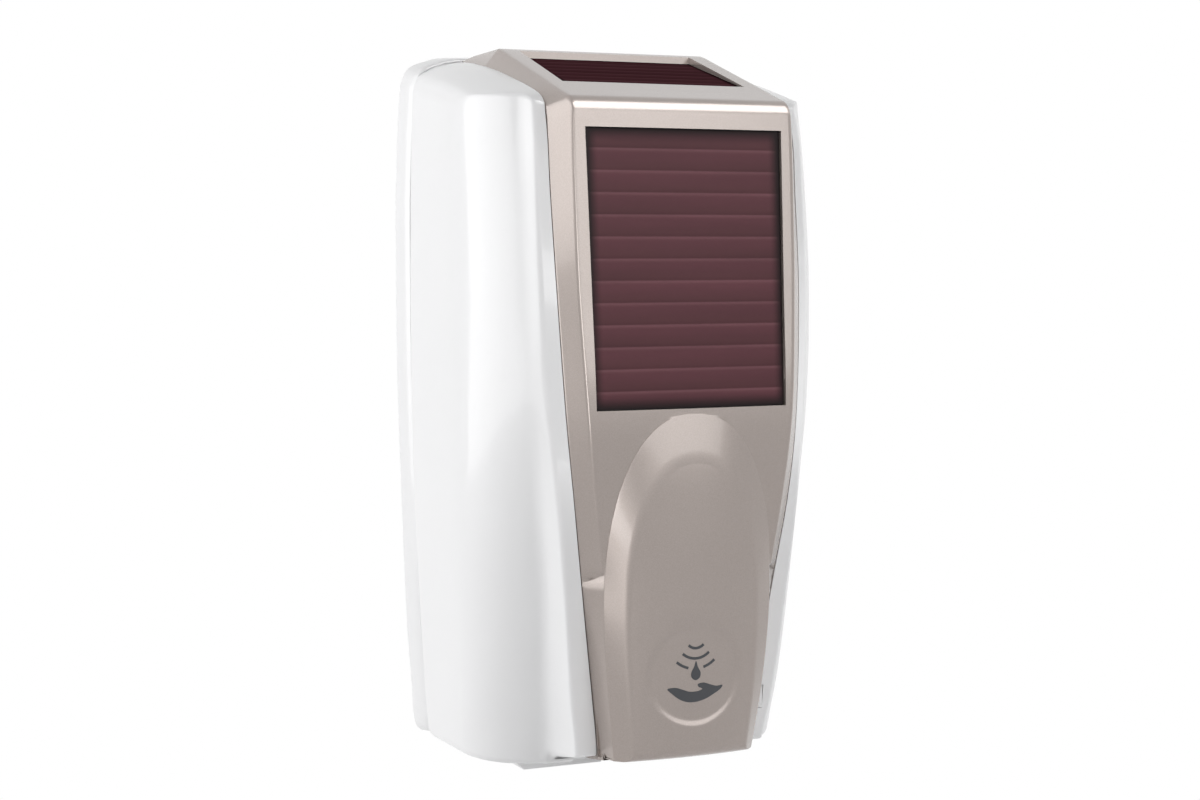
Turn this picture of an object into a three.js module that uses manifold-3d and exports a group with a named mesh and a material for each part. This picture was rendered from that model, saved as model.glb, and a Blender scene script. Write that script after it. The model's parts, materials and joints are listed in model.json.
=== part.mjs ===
import * as THREE from "three";
import { mergeVertices } from "three/addons/utils/BufferGeometryUtils.js";
import Module from "manifold-3d";

const wasm = await Module();
wasm.setup();

// A wall-mounted automatic foam soap dispenser with light-powered panels, in millimetres.
// X runs to the right seen from the front, Z up, and the wall is the plane Y = 0.
// Pieces are drawn by their distance from the wall (depth) and their height above the
// lowest point. The finished group is lowered by half the height, so that the origin is
// the centre of the back plate's flat back.

// Overall size and the clearances shared by every piece
const height = 276;
const width = 146;
const depth = 122;
const wall = 2.6;
const gap = 0.3;
const overrun = 6;

// Cover, face panel and their feet
const coverFoot = 4.5;
const spineFoot = 11.5;
const panelPocket = 3.4;
const panelWall = 2.4;
const bevelWidth = 5.7;
const seamGap = 0.4;
const footRound = 2.4;
const mouthWidth = 103;
const mouthMargin = 5.5;
const nozzleMouthWidth = 48;
const nozzleMouthReach = 24;

const panelBossRadius = 2.6;
const panelBossLength = 9;
const screwBite = 5;
const panelScrewShares = [[0.826, 0.91], [0.428, 0.9]];
const clipHeightShare = 0.104;
const clipOffset = 0.9;
const clipWidth = 3.4;
const clipLength = 8.5;
const clipDepth = 1.6;
const clipProud = 0.4;

// Nose and dish on the face panel
const noseRoundness = 2.3;
const noseTaper = 1.6;
const noseRound = 4.5;
const noseBulge = 1.2;
const noseCrownShare = 0.45;
const noseTip = 0.6;
const noseLevels = 4;
const archLevels = 8;
const dishRadius = 20;
const dishHeight = 43.5;
const dishDepth = 0.8;

// Back plate
const plateDepth = 13;
const plateFloor = 2.5;
const plateDraftShare = 0.022;
const mountSlotWidth = 4;
const mountSlotLength = 14;
const mountSlotSpacingX = 80;
const mountSlotSpacingZ = 150;

// Cover hinge
const hingeDepth = 18;
const hingeHeight = 9;
const hingePinRadius = 1.9;
const hingeBossRadius = 4.1;
const hingeLugInner = 54;
const hingeLugThickness = 4.2;

// Pump axis and refill
const collarMargin = 3.8;
const shelfHeight = 88;
const shelfThickness = 3;
const neckRadius = 17;
const neckLength = 8;
const bottleClearance = 4;
const bottleHeadroom = 20;
const bottleBack = 10.5;
const bottleRound = 9;
const bottleCorner = 14;
const bottleHalfWidth = 55;
const collarWall = 3;
const collarDrop = 16;
const pumpBodyLength = 34;
const pumpBodyWall = 4;
const stemRadius = 6;
const stemTop = 68;
const stemFoot = 8;
const outletRadius = 3;
const outletLength = 30;
const flangeRadius = 11;
const flangeThickness = 3;
const pumpStroke = 9;

// Chassis
const chassisPanel = 2.5;
const chassisHalfWidth = 50;
const chassisFoot = 12;
const chassisRib = 2.5;
const ribSetback = 2;
const floorMargin = 6;
const shelfReach = 12;
const chassisScrewSideShare = 0.84;
const chassisScrewHeight = 82.8;
const chassisScrewDrop = 69;
const screwSeat = 1.7;
const guardScrewX = 38;
const guardScrewSetback = 20.5;
const screwHeadRadius = 3.2;
const screwHeadHeight = 1.8;
const screwShankRadius = 1.4;

// Drive: module 1 gears on axles that run from back to front
const toothPitch = 3.1416;
const pinionTeeth = 9;
const idlerTeeth = 24;
const idlerPinionTeeth = 10;
const outputTeeth = 22;
const rackPinionTeeth = 14;
const gearWidth = 4;
const axleRadius = 1.5;
const meshPlay = 0.15;
const toothTipShare = 0.7;
const toothRootShare = 1;
const toothRootHalfShare = 0.31;
const toothTipHalfShare = 0.13;
const outputHeight = 66;
const idlerTiltShare = 0.083;
const motorTiltShare = -0.044;
const motorRadius = 11.5;
const motorLength = 26;
const motorShaftRadius = 1;
const framePlate = 2;
const frameSetback = 19.5;
const frameMargin = 1.5;
const postRadius = 2.4;
const rackThickness = 4;
const yokeThickness = 4;
const yokeRadius = 10;

// Power: four cells upright in two rows
const cellRadius = 7.1;
const cellLength = 50;
const cellTipRadius = 2.7;
const cellTipLength = 1.2;
const boxWall = 1.5;
const contactThickness = 0.5;
const boardThickness = 1.6;
const chipHeight = 1.8;
const chipSize = 12;
const controlBoardWidth = 22;
const controlBoardLength = 56;
const chargeBoardHalfWidth = 26;
const chargeBoardShares = [0.58, 0.8];
const chargePostRadius = 2;
const chargePostShares = [0.62, 0.76];
const switchHousing = 8;
const switchWidth = 16;
const switchSlot = 4;
const switchDepth = 5;
const switchTravel = 6;
const switchKnob = 3;

// Hand sensor and its guard under the dispenser
const guardHalfWidth = 45;
const guardSetback = 3.5;
const guardFloor = 2.2;
const guardWall = 2.5;
const guardSlant = 5;
const guardBossRadius = 3.2;
const stemClearRadius = 13;
const ledRadius = 2.5;
const ledSpacing = 16;
const ledLength = 5.2;
const sensorDepth = 35.5;
const sensorWindowWidth = 32;
const sensorWindowLength = 10;
const sensorBoardHalfWidth = 34;

// Light panels
const frontPanelTopShare = 0.879;
const frontPanelFootShare = 0.512;
const frontPanelTopWidth = 79.4;
const frontPanelFootWidth = 76.8;
const topPanelDepthShares = [0.3426, 0.7008];
const topPanelBackWidth = 72.6;
const topPanelFrontWidth = 75;
const topPanelBackRecess = 2.6;
const topPanelFrontRecess = 0.6;
const lightPanelThickness = 1.8;
const frontPanelRecess = 1.2;
const frameLip = 1.6;
const frameThickness = 1.5;

// Latch
const latchDrop = 28;
const springRoom = 13;
const guideFloor = 2;
const guideWall = 2;
const guideReach = 12;
const hookReach = 8;
const catchDepth = 20;
const catchLength = 10;
const catchFlange = 8;
const buttonProud = 0.5;
const buttonWidth = 16;
const buttonDepth = 7;
const catchWidth = 12;
const catchThickness = 3;
const springWire = 0.7;
const springRadius = 2.2;
const springTurns = 5;

const halfWidth = width / 2;
const shellLimit = height + overrun;

// Colours and finishes read from the photograph
const finishes = {
  white: [0xf0f0f2, 0.35, 0],
  panel: [0xaba09b, 0.32, 0.15],
  light: [0x5a3540, 0.2, 0.1],
  black: [0x1c1d20, 0.5, 0],
  grey: [0x6f7276, 0.5, 0],
  steel: [0xb8babd, 0.3, 0.9],
  brass: [0xb8964f, 0.35, 0.9],
  board: [0x2c5a3a, 0.5, 0],
  acetal: [0xe8e6dc, 0.45, 0],
  refill: [0xdfe9ef, 0.25, 0],
  cell: [0x3b6f9c, 0.4, 0.3],
  slate: [0x2f3239, 0.5, 0],
};

const model = new THREE.Group();
model.position.z = -height / 2;

// Solids: closed geometries go in, are joined and cut, and come out as closed geometries

function toSolid(geometry) {
  geometry.deleteAttribute("normal");
  geometry.deleteAttribute("uv");
  const merged = mergeVertices(geometry, 1e-4);
  return new wasm.Manifold(new wasm.Mesh({
    numProp: 3,
    vertProperties: Float32Array.from(merged.attributes.position.array),
    triVerts: Uint32Array.from(merged.index.array),
  }));
}

function toGeometry(solid) {
  const mesh = solid.getMesh();
  const geometry = new THREE.BufferGeometry();
  geometry.setAttribute("position", new THREE.BufferAttribute(mesh.vertProperties, 3));
  geometry.setIndex(new THREE.BufferAttribute(mesh.triVerts, 1));
  geometry.computeVertexNormals();
  return geometry;
}

function join(first, ...others) {
  return others.reduce((sum, other) => sum.add(other), first);
}

function cut(base, ...tools) {
  return tools.reduce((rest, tool) => rest.subtract(tool), base);
}

function place(name, solid, finish, parent = model) {
  const [color, roughness, metalness] = finishes[finish];
  const material = new THREE.MeshStandardMaterial({ color, roughness, metalness });
  const mesh = new THREE.Mesh(toGeometry(solid), material);
  mesh.name = name;
  parent.add(mesh);
  return mesh;
}

// Prisms: an outline drawn in two of the three directions, run along the third

function extrude(points, length, xAxis, yAxis, start) {
  const shape = new THREE.Shape(points.map(([a, b]) => new THREE.Vector2(a, b)));
  const geometry = new THREE.ExtrudeGeometry(shape, { depth: length, bevelEnabled: false });
  const zAxis = new THREE.Vector3().crossVectors(xAxis, yAxis);
  const turn = new THREE.Matrix4().makeBasis(xAxis, yAxis, zAxis);
  turn.setPosition(zAxis.clone().multiplyScalar(start));
  return toSolid(geometry.applyMatrix4(turn));
}

const right = new THREE.Vector3(1, 0, 0);
const outward = new THREE.Vector3(0, -1, 0);
const back = new THREE.Vector3(0, 1, 0);
const up = new THREE.Vector3(0, 0, 1);

// Outline points are [x, height], from one depth to another
function prismOut(points, fromDepth, toDepth) {
  return extrude(points, toDepth - fromDepth, right, up, fromDepth);
}

// Outline points are [x, depth], from one height to another
function prismUp(points, fromHeight, toHeight) {
  const flipped = points.map(([x, away]) => [x, -away]);
  return extrude(flipped, toHeight - fromHeight, right, back, fromHeight);
}

// Outline points are [depth, height], from one x to another
function prismAcross(points, fromX, toX) {
  return extrude(points, toX - fromX, outward, up, -toX);
}

function rectangle([a0, a1], [b0, b1]) {
  return [[a0, b0], [a1, b0], [a1, b1], [a0, b1]];
}

function block(xs, depths, heights) {
  return prismUp(rectangle(xs, depths), ...heights);
}

function circle(radius, [a, b], sides = 24) {
  return Array.from({ length: sides }, (_, i) => {
    const angle = (i / sides) * 2 * Math.PI;
    return [a + radius * Math.cos(angle), b + radius * Math.sin(angle)];
  });
}

function roundedRectangle([a0, a1], [b0, b1], radius, steps = 4) {
  const corners = [[a1, b1], [a0, b1], [a0, b0], [a1, b0]];
  return corners.flatMap(([a, b], quarter) => {
    const centreA = a === a1 ? a - radius : a + radius;
    const centreB = b === b1 ? b - radius : b + radius;
    return Array.from({ length: steps + 1 }, (_, i) => {
      const angle = (quarter + i / steps) * Math.PI / 2;
      return [centreA + radius * Math.cos(angle), centreB + radius * Math.sin(angle)];
    });
  });
}

// A closed body through rings that have the same number of [x, depth, height] points
function loft(rings) {
  const count = rings[0].length;
  const top = (rings.length - 1) * count;
  const foot = rings.length * count;
  const peak = foot + 1;
  const ends = [middle(rings[0]), middle(rings[rings.length - 1])];
  const points = [...rings.flat(), ...ends].map(([x, away, z]) => [x, -away, z]);
  const index = [];
  for (let i = 0; i < count; i += 1) {
    const next = (i + 1) % count;
    index.push(foot, next, i, peak, top + i, top + next);
    for (let low = 0; low < top; low += count) {
      const high = low + count;
      index.push(low + i, low + next, high + next, low + i, high + next, high + i);
    }
  }
  if (signedVolume(points, index) < 0) {
    index.reverse();
  }
  const geometry = new THREE.BufferGeometry();
  geometry.setAttribute("position", new THREE.Float32BufferAttribute(points.flat(), 3));
  geometry.setIndex(index);
  return toSolid(geometry);
}

function middle(ring) {
  const sum = ring.reduce((total, point) => total.map((value, i) => value + point[i]), [0, 0, 0]);
  return sum.map((value) => value / ring.length);
}

function signedVolume(points, index) {
  let sum = 0;
  for (let i = 0; i < index.length; i += 3) {
    const [a, b, c] = [0, 1, 2].map((k) => new THREE.Vector3(...points[index[i + k]]));
    sum += a.dot(b.cross(c));
  }
  return sum;
}

// Moves every point of a closed outline inward by the same distance from its two sides
function inset(points, distance) {
  const turn = Math.sign(THREE.ShapeUtils.area(points.map(([a, b]) => new THREE.Vector2(a, b))));
  const normals = points.map(([a, b], i) => {
    const [c, d] = points[(i + 1) % points.length];
    const length = Math.hypot(c - a, d - b);
    return [(-turn * (d - b)) / length, (turn * (c - a)) / length];
  });
  return points.map(([a, b], i) => {
    const [p, q] = [normals[(i + points.length - 1) % points.length], normals[i]];
    const share = distance / (1 + p[0] * q[0] + p[1] * q[1]);
    return [a + (p[0] + q[0]) * share, b + (p[1] + q[1]) * share];
  });
}

// Smooth values between the rows of a table whose first column rises
function between(rows, at) {
  const last = rows.length - 1;
  const found = rows.findIndex((row) => row[0] > at);
  const i = found < 0 ? last - 1 : Math.max(found - 1, 0);
  const [before, start, end, after] = [rows[Math.max(i - 1, 0)], rows[i], rows[i + 1],
    rows[Math.min(i + 2, last)]];
  const span = end[0] - start[0];
  const t = Math.min(Math.max((at - start[0]) / span, 0), 1);
  return start.map((value, column) => {
    const leave = (span * (end[column] - before[column])) / (end[0] - before[0]);
    const arrive = (span * (after[column] - value)) / (after[0] - start[0]);
    const change = end[column] - value;
    return value + t * leave + t * t * (3 * change - 2 * leave - arrive)
      + t ** 3 * (leave + arrive - 2 * change);
  });
}

// Adds the mirror image of a half outline whose first point lies nearest the wall
function mirrored(half) {
  return [...half, ...half.map(([x, other]) => [-x, other]).reverse()];
}

// The cover's plan at chosen heights. Each row is a share of the height, then shares of
// the half width (X) and of the depth (D): the side, the start and the control point of
// the round corner, the valley beside the raised spine, the spine's crease and the seam.
const planShares = [
  [0.016, 0.882, 0.410, 0.856, 0.602, 0.562, 0.631, 0.534, 0.816, 0.411, 0.816],
  [0.054, 0.899, 0.426, 0.870, 0.611, 0.568, 0.664, 0.541, 0.828, 0.423, 0.829],
  [0.120, 0.916, 0.443, 0.901, 0.639, 0.603, 0.693, 0.581, 0.848, 0.463, 0.851],
  [0.254, 0.944, 0.459, 0.934, 0.672, 0.648, 0.752, 0.633, 0.875, 0.532, 0.875],
  [0.391, 0.966, 0.475, 0.949, 0.689, 0.716, 0.800, 0.686, 0.888, 0.604, 0.907],
  [0.504, 0.975, 0.492, 0.949, 0.697, 0.767, 0.831, 0.725, 0.871, 0.648, 0.909],
  [0.667, 0.978, 0.492, 0.959, 0.705, 0.792, 0.816, 0.755, 0.857, 0.679, 0.884],
  [0.797, 0.974, 0.475, 0.953, 0.684, 0.789, 0.789, 0.755, 0.833, 0.688, 0.848],
  [0.870, 0.970, 0.467, 0.945, 0.668, 0.784, 0.762, 0.753, 0.815, 0.689, 0.830],
  [0.913, 0.964, 0.459, 0.938, 0.656, 0.774, 0.746, 0.744, 0.791, 0.684, 0.802],
  [1.000, 0.959, 0.451, 0.932, 0.639, 0.760, 0.705, 0.733, 0.754, 0.678, 0.770],
];

function plan(z) {
  const row = between(planShares, z / height);
  const [sideX, bendX, valleyX, creaseX, seamX] = [1, 3, 5, 7, 9].map((i) => row[i] * halfWidth);
  const [cornerD, bendD, valleyD, creaseD, seamD] = [2, 4, 6, 8, 10].map((i) => row[i] * depth);
  return { sideX, cornerD, bendX, bendD, valleyX, valleyD, creaseX, creaseD, seamX, seamD };
}

// The face panel's depth beside and at its middle: shares of the height and of the depth
const faceShares = [
  [0.016, 0.885, 0.885],
  [0.120, 0.908, 0.914],
  [0.254, 0.930, 0.938],
  [0.391, 0.954, 0.962],
  [0.504, 0.967, 0.975],
  [0.667, 0.942, 0.949],
  [0.870, 0.909, 0.916],
  [1.000, 0.888, 0.895],
];

// The nose's front and edge: shares of the height and of the depth
const noseShares = [
  [0.042, 0.907, 0.982],
  [0.120, 0.923, 0.994],
  [0.217, 0.934, 0.999],
  [0.290, 0.938, 0.999],
  [0.362, 0.952, 0.997],
  [0.438, 0.966, 0.991],
  [0.504, 0.969, 0.975],
];
const noseFootShares = [0.392, 0.301];
const noseWidestShares = [0.469, 0.348];
const noseWidestHeightShares = [0.254, 0.217];
const noseApexShares = [0.504, 0.438];

// Side view of the tops: shares of the depth and of the height, and for the face panel
// also the height of its top where it meets the white cover
const whiteTopShares = [
  [-0.15, 0.9946], [0.107, 0.9917], [0.221, 0.9855], [0.393, 0.9721], [0.549, 0.9558], [0.697, 0.9384],
  [0.775, 0.9261], [0.807, 0.913], [0.828, 0.895], [0.838, 0.868], [0.85, 0.81], [1.15, 0.7],
];
const panelTopShares = [
  [-0.15, 0.9964, 0.9905], [0.107, 0.997, 0.9877], [0.311, 1, 0.9746], [0.343, 0.9964, 0.972],
  [0.701, 0.945, 0.9344], [0.779, 0.9333, 0.9214], [0.828, 0.9243, 0.9094], [0.863, 0.9141, 0.8986],
  [0.89, 0.9014, 0.884], [0.907, 0.8873, 0.869], [0.913, 0.873, 0.855], [0.951, 0.815, 0.797],
  [1.15, 0.72, 0.7],
];

// Front view of the top: shares of the half width, and the fall from the middle as
// shares of the height
const crownShares = [
  [1, 0.0725], [0.956, 0.0446], [0.94, 0.03], [0.89, 0.0192], [0.822, 0.0105], [0.718, 0.0043],
  [0.41, 0.0007],
];

const beyondShare = 1.3;
const crownSideShare = 0.15;
const levelCount = 12;
const cornerSteps = 6;
const easeShare = 1 - Math.SQRT1_2;

// Everything in front of the back plate: the white body, its raised spine and the face
// panel are drawn at full size and again moved inward, which makes their walls

function bodyHalf(z) {
  const { sideX, cornerD, bendX, bendD, valleyX, valleyD } = plan(z);
  const bend = Array.from({ length: cornerSteps + 1 }, (_, i) => {
    const t = i / cornerSteps;
    const weights = [(1 - t) ** 2, 2 * t * (1 - t), t * t];
    const mix = (...values) => values.reduce((sum, value, k) => sum + weights[k] * value, 0);
    return [mix(sideX, bendX, valleyX), mix(cornerD, bendD, valleyD)];
  });
  return [[sideX, -overrun], ...bend];
}

function spineHalf(z) {
  const { valleyX, valleyD, creaseX, creaseD, seamX, seamD } = plan(z);
  return [[valleyX, -overrun], [valleyX, valleyD], [creaseX, creaseD], [seamX, seamD]];
}

function seamHalf(z) {
  const { seamX } = plan(z);
  return [[seamX, -overrun], [seamX, depth + overrun]];
}

function faceDepth(z) {
  const [, edge, centre] = between(faceShares, z / height).map((share) => share * depth);
  return { edge, centre };
}

function panelHalf(z) {
  const { seamX, seamD } = plan(z);
  const { edge, centre } = faceDepth(z);
  const edgeX = seamX - bevelWidth;
  return [[seamX, -overrun], [seamX, seamD], [edgeX, edge], [edgeX / 2, centre]];
}

// A body from its foot up to above the top, with its plan moved inward by a distance
function stack(half, foot, distance, round = 0) {
  const low = foot + distance;
  const ring = (z, by) => inset(mirrored(half(z)), by).map(([x, away]) => [x, away, z]);
  const rings = Array.from({ length: levelCount + 1 }, (_, i) => {
    const z = low + round + (i / levelCount) * (shellLimit - low - round);
    return ring(z, distance);
  });
  if (round > 0) {
    const eased = round * easeShare;
    rings.unshift(ring(low, distance + round), ring(low + eased, distance + eased));
  }
  return loft(rings);
}

// What lies under the crowned white top
function underWhiteTop(distance) {
  return loft(whiteTopShares.map(([away, top]) => {
    const z = top * height - distance;
    const crown = crownShares.map(([x, fall]) => [x * (halfWidth - distance), z - fall * height]);
    const limit = beyondShare * halfWidth;
    const half = [[limit, -overrun], [limit, z - crownSideShare * height], ...crown];
    return mirrored(half).map(([x, high]) => [x, away * depth - distance, high]);
  }));
}

// What lies under the face panel's bevelled top
function underPanelTop(distance) {
  const { seamX } = plan(height);
  return loft(panelTopShares.map(([away, top, seam]) => {
    const z = top * height - distance;
    const rise = (top - seam) * height;
    const half = [[seamX + bevelWidth, -overrun], [seamX + bevelWidth, z - 2 * rise],
      [seamX - bevelWidth, z]];
    return mirrored(half).map(([x, high]) => [x, away * depth - distance, high]);
  }));
}

function whiteForm(distance) {
  const round = distance > 0 ? 0 : footRound;
  const body = stack(bodyHalf, coverFoot, distance, round);
  const spine = stack(spineHalf, spineFoot, distance, round);
  return join(body, spine).intersect(underWhiteTop(distance));
}

// The space that the face panel fills: a pocket in the white cover behind its seam
function pocket(deep, margin) {
  return stack(seamHalf, spineFoot, -margin).subtract(whiteForm(deep));
}

// The nose: a half ellipse in front view, with a narrower flat front
function noseForm(distance) {
  const apex = noseApexShares.map((share) => share * height - 2 * distance);
  const widest = noseWidestHeightShares.map((share) => share * height);
  const foot = spineFoot + distance;
  const reach = (z, k) => {
    const full = noseWidestShares[k] * halfWidth;
    if (z < widest[k]) {
      const rise = (z - spineFoot) / (widest[k] - spineFoot);
      return full + (noseFootShares[k] * halfWidth - full) * (1 - rise) ** noseTaper;
    }
    const climb = Math.min((z - widest[k]) / (apex[k] - widest[k]), 1);
    return full * (1 - climb ** noseRoundness) ** (1 / noseRoundness);
  };
  const ring = (z, by) => {
    const { seamD } = plan(z);
    const [, edge, front] = between(noseShares, z / height).map((share) => share * depth - by);
    const outer = Math.max(reach(z, 0) - by, noseTip);
    const inner = Math.max(Math.min(reach(z, 1) - by, outer - noseTip / 2), outer / 4);
    const crown = noseCrownShare * (front - edge);
    const half = [
      [outer, seamD - 2 * panelWall],
      [outer, edge],
      [(outer + inner) / 2 + noseBulge / 2, (edge + front - crown) / 2 + noseBulge],
      [inner, front - crown],
      [inner / 2, front - crown / 4],
      [inner / 6, front],
    ];
    return mirrored(half).map(([x, away]) => [x, away, z]);
  };
  const round = distance > 0 ? 0 : noseRound;
  const straight = Array.from({ length: noseLevels }, (_, i) => {
    const low = foot + round;
    return ring(low + (i / noseLevels) * (widest[0] - low), distance);
  });
  const arch = Array.from({ length: archLevels + 1 }, (_, i) => {
    const climb = Math.sin((i / archLevels) * Math.PI / 2);
    return ring(widest[0] + climb * (apex[0] - widest[0]), distance);
  });
  const eased = round * easeShare;
  const toe = round > 0 ? [ring(foot, round), ring(foot + eased, eased)] : [];
  return loft([...toe, ...straight, ...arch]);
}

// The pump stands as near the cover's front as its collar allows, and the drive, the ribs
// and the guard follow it
const collarOuter = neckRadius + gap + collarWall;
const pumpDepth = plan(shelfHeight).valleyD - wall - collarMargin - collarOuter;
const ribDepth = pumpDepth - ribSetback;
const frameDepth = pumpDepth - frameSetback;
const guardDepth = pumpDepth - guardSetback;
const guardScrewDepth = guardDepth - guardScrewSetback;
const mouthDepth = guardDepth + mouthMargin;
const nozzleMouthDepth = pumpDepth + nozzleMouthReach;
const latchHeight = height - latchDrop;
const gearModule = toothPitch / Math.PI;

const coverBack = plateDepth + seamGap;
const [topPanelBackDepth, topPanelFrontDepth] = topPanelDepthShares.map((share) => share * depth);
const everywhereX = [-beyondShare * halfWidth, beyondShare * halfWidth];
const everywhereZ = [-2 * overrun, shellLimit + overrun];
const behindCover = block(everywhereX, [-2 * depth, coverBack], everywhereZ);
const mouthX = [-mouthWidth / 2, mouthWidth / 2];
const nozzleMouthX = [-nozzleMouthWidth / 2, nozzleMouthWidth / 2];
const nozzleMouth = block(nozzleMouthX, [0, nozzleMouthDepth],
  [-overrun, spineFoot + panelPocket + 2 * wall]);

// Heights and sides of the cover's screws and hinge
const hingeLugOuter = hingeLugInner + hingeLugThickness;
const earInner = hingeLugOuter + 2 * gap;
const earOuter = plan(hingeHeight).sideX - wall / 2;
const pinHoleRadius = hingePinRadius + gap;
const sides = [[-1, "left"], [1, "right"]];

function acrossOn(side, points, from, to) {
  return side > 0 ? prismAcross(points, from, to) : prismAcross(points, -to, -from);
}

const hingePoint = [hingeDepth, hingeHeight];
const panelScrewSpots = panelScrewShares.flatMap(([z, x]) => {
  const reach = x * plan(z * height).seamX;
  return [[-reach, z * height], [reach, z * height]];
});

// The catch hangs under the white cover's top, whose underside is lowest at its front
const catchInside = panelPocket + wall;
const catchZ = between(whiteTopShares, (catchDepth + catchLength + catchInside) / depth)[1] * height
  - catchInside - 2 * gap;
const catchScrewX = (catchWidth + catchFlange) / 2;
const catchScrewSpots = [-catchScrewX, catchScrewX].map((x) => [x, catchDepth + catchLength / 2]);

function coverShell() {
  const hollow = whiteForm(wall).subtract(pocket(panelPocket + wall, gap + wall));
  const shell = cut(whiteForm(0), pocket(panelPocket, gap), hollow, behindCover);
  const guardMouth = block(mouthX, [0, mouthDepth], [-overrun, hingeHeight + wall]);
  const lugMouthX = [-earInner, earInner];
  const lugMouth = block(lugMouthX, [0, hingeDepth + 2 * hingeBossRadius],
    [-overrun, hingeHeight + 2 * hingeBossRadius]);
  const swing = hingeDepth - coverBack;
  const rearFoot = block(everywhereX, [0, hingeDepth], [-overrun, hingeHeight]);
  const kept = prismAcross(circle(swing, hingePoint, 32), ...everywhereX);
  const ears = sides.map(([side]) => {
    const arm = rectangle([hingeDepth, hingeDepth + 2 * swing],
      [hingeHeight - swing + gap, hingeHeight + swing - gap]);
    const ear = join(acrossOn(side, circle(swing - gap, hingePoint), earInner, earOuter),
      acrossOn(side, arm, earInner, earOuter));
    return ear;
  });
  const pinHoles = sides.map(([side]) =>
    acrossOn(side, circle(pinHoleRadius, hingePoint), earInner - overrun, earOuter - wall / 2));
  const screwHoles = panelScrewSpots.map(([x, z]) => {
    const face = plan(z).seamD - panelPocket;
    return prismOut(circle(screwShankRadius + gap, [x, z], 12), face - overrun, face + overrun);
  });
  const catchHoles = catchScrewSpots.map((spot) =>
    prismUp(circle(screwShankRadius + gap, spot, 12), catchZ - gap, catchZ + catchThickness + gap));
  const clipHole = clipBlock(gap, overrun);
  const upToBoard = chargeBoardSlab(-overrun, overrun + chargeBoardBehind + boardThickness + gap);
  const posts = [-1, 1].flatMap((side) => chargePostShares.map((share) => {
    const spot = [side * (chargeBoardHalfWidth - 2 * chargePostRadius), share * height];
    const face = plan(share * height).seamD - panelPocket;
    return prismOut(circle(chargePostRadius, spot, 12), face - wall / 2, face + overrun);
  }));
  const open = cut(shell, guardMouth, lugMouth, nozzleMouth, rearFoot.subtract(kept));
  return cut(join(open, ...ears, ...posts), upToBoard, ...pinHoles, ...screwHoles, ...catchHoles, clipHole);
}

// The small clip beside the panel's lower right edge
function clipBlock(margin, proud) {
  const z = clipHeightShare * height;
  const { seamX, creaseD } = plan(z);
  const xs = [seamX + clipOffset - margin, seamX + clipOffset + clipWidth + margin];
  const heights = [z - clipLength / 2 - margin, z + clipLength / 2 + margin];
  return block(xs, [creaseD - clipDepth - margin, creaseD + proud], heights);
}

// A slab that lies along the front light panel, some way behind the face
function frontSlab([footZ, topZ], [footHalf, topHalf], behind, thickness) {
  const rows = [[footZ, footHalf], [topZ, topHalf]];
  return loft(rows.map(([z, half]) => {
    const face = faceDepth(z).edge - behind;
    return [[half, face], [half, face - thickness], [-half, face - thickness], [-half, face]]
      .map(([x, away]) => [x, away, z]);
  }));
}

function frontPanelSlab(margin, behind, thickness) {
  const heights = [frontPanelFootShare * height - margin, frontPanelTopShare * height + margin];
  return frontSlab(heights, [frontPanelFootWidth / 2 + margin, frontPanelTopWidth / 2 + margin], behind,
    thickness);
}

const chargeBoardHeights = chargeBoardShares.map((share) => share * height);
const chargeBoardBehind = frontPanelRecess + lightPanelThickness + frameThickness + 3 * gap;

function chargeBoardSlab(behind, thickness) {
  const halves = [chargeBoardHalfWidth, chargeBoardHalfWidth];
  return frontSlab(chargeBoardHeights, halves, behind, thickness);
}

// The same along the top light panel, some way below its surface
function topPanelSlab(margin, below, thickness) {
  const backZ = panelTopAt(topPanelBackDepth) - topPanelBackRecess;
  const frontZ = panelTopAt(topPanelFrontDepth) - topPanelFrontRecess;
  const slope = (frontZ - backZ) / (topPanelFrontDepth - topPanelBackDepth);
  const rows = [
    [topPanelBackDepth - margin, topPanelBackWidth / 2 + margin],
    [topPanelFrontDepth + margin, topPanelFrontWidth / 2 + margin],
  ];
  return loft(rows.map(([away, half]) => {
    const z = backZ + slope * (away - topPanelBackDepth) - below;
    return [[half, away, z], [half, away, z - thickness], [-half, away, z - thickness], [-half, away, z]];
  }));
}

function panelTopAt(away) {
  const i = panelTopShares.findIndex(([share]) => share * depth > away);
  const [[a, low], [b, high]] = [panelTopShares[i - 1], panelTopShares[i]];
  return height * (low + ((away / depth - a) / (b - a)) * (high - low));
}

function facePanel() {
  const plate = (distance) => stack(panelHalf, spineFoot, distance).intersect(underPanelTop(distance));
  const outer = join(plate(0), noseForm(0));
  const inner = join(plate(panelWall), noseForm(panelWall));
  const bosses = panelScrewSpots.map(([x, z]) => {
    const face = plan(z).seamD - panelPocket;
    return prismOut(circle(panelBossRadius, [x, z], 12), face, face + panelBossLength);
  });
  const bossHoles = panelScrewSpots.map(([x, z]) => {
    const face = plan(z).seamD - panelPocket;
    return prismOut(circle(screwShankRadius + gap, [x, z], 12), face, face + screwBite + gap);
  });
  const inside = join(plate(panelWall / 2), noseForm(panelWall / 2));
  const hood = join(outer.subtract(inner), join(...bosses).intersect(inside));
  const noseEdge = between(noseShares, dishHeight / height)[1] * depth;
  const dish = prismOut(circle(dishRadius, [0, dishHeight], 36), noseEdge, depth + overrun)
    .subtract(noseForm(dishDepth));
  const frontWindow = frontPanelSlab(gap, -overrun, overrun + frontPanelRecess + lightPanelThickness + gap);
  const topWindow = topPanelSlab(gap, -overrun, overrun + lightPanelThickness + gap);
  return cut(hood, whiteForm(panelPocket - gap), behindCover, nozzleMouth, dish, frontWindow, topWindow,
    ...bossHoles);
}

// Back plate: a shallow tub with the hinge lugs, the latch guides and the wall slots

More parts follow.
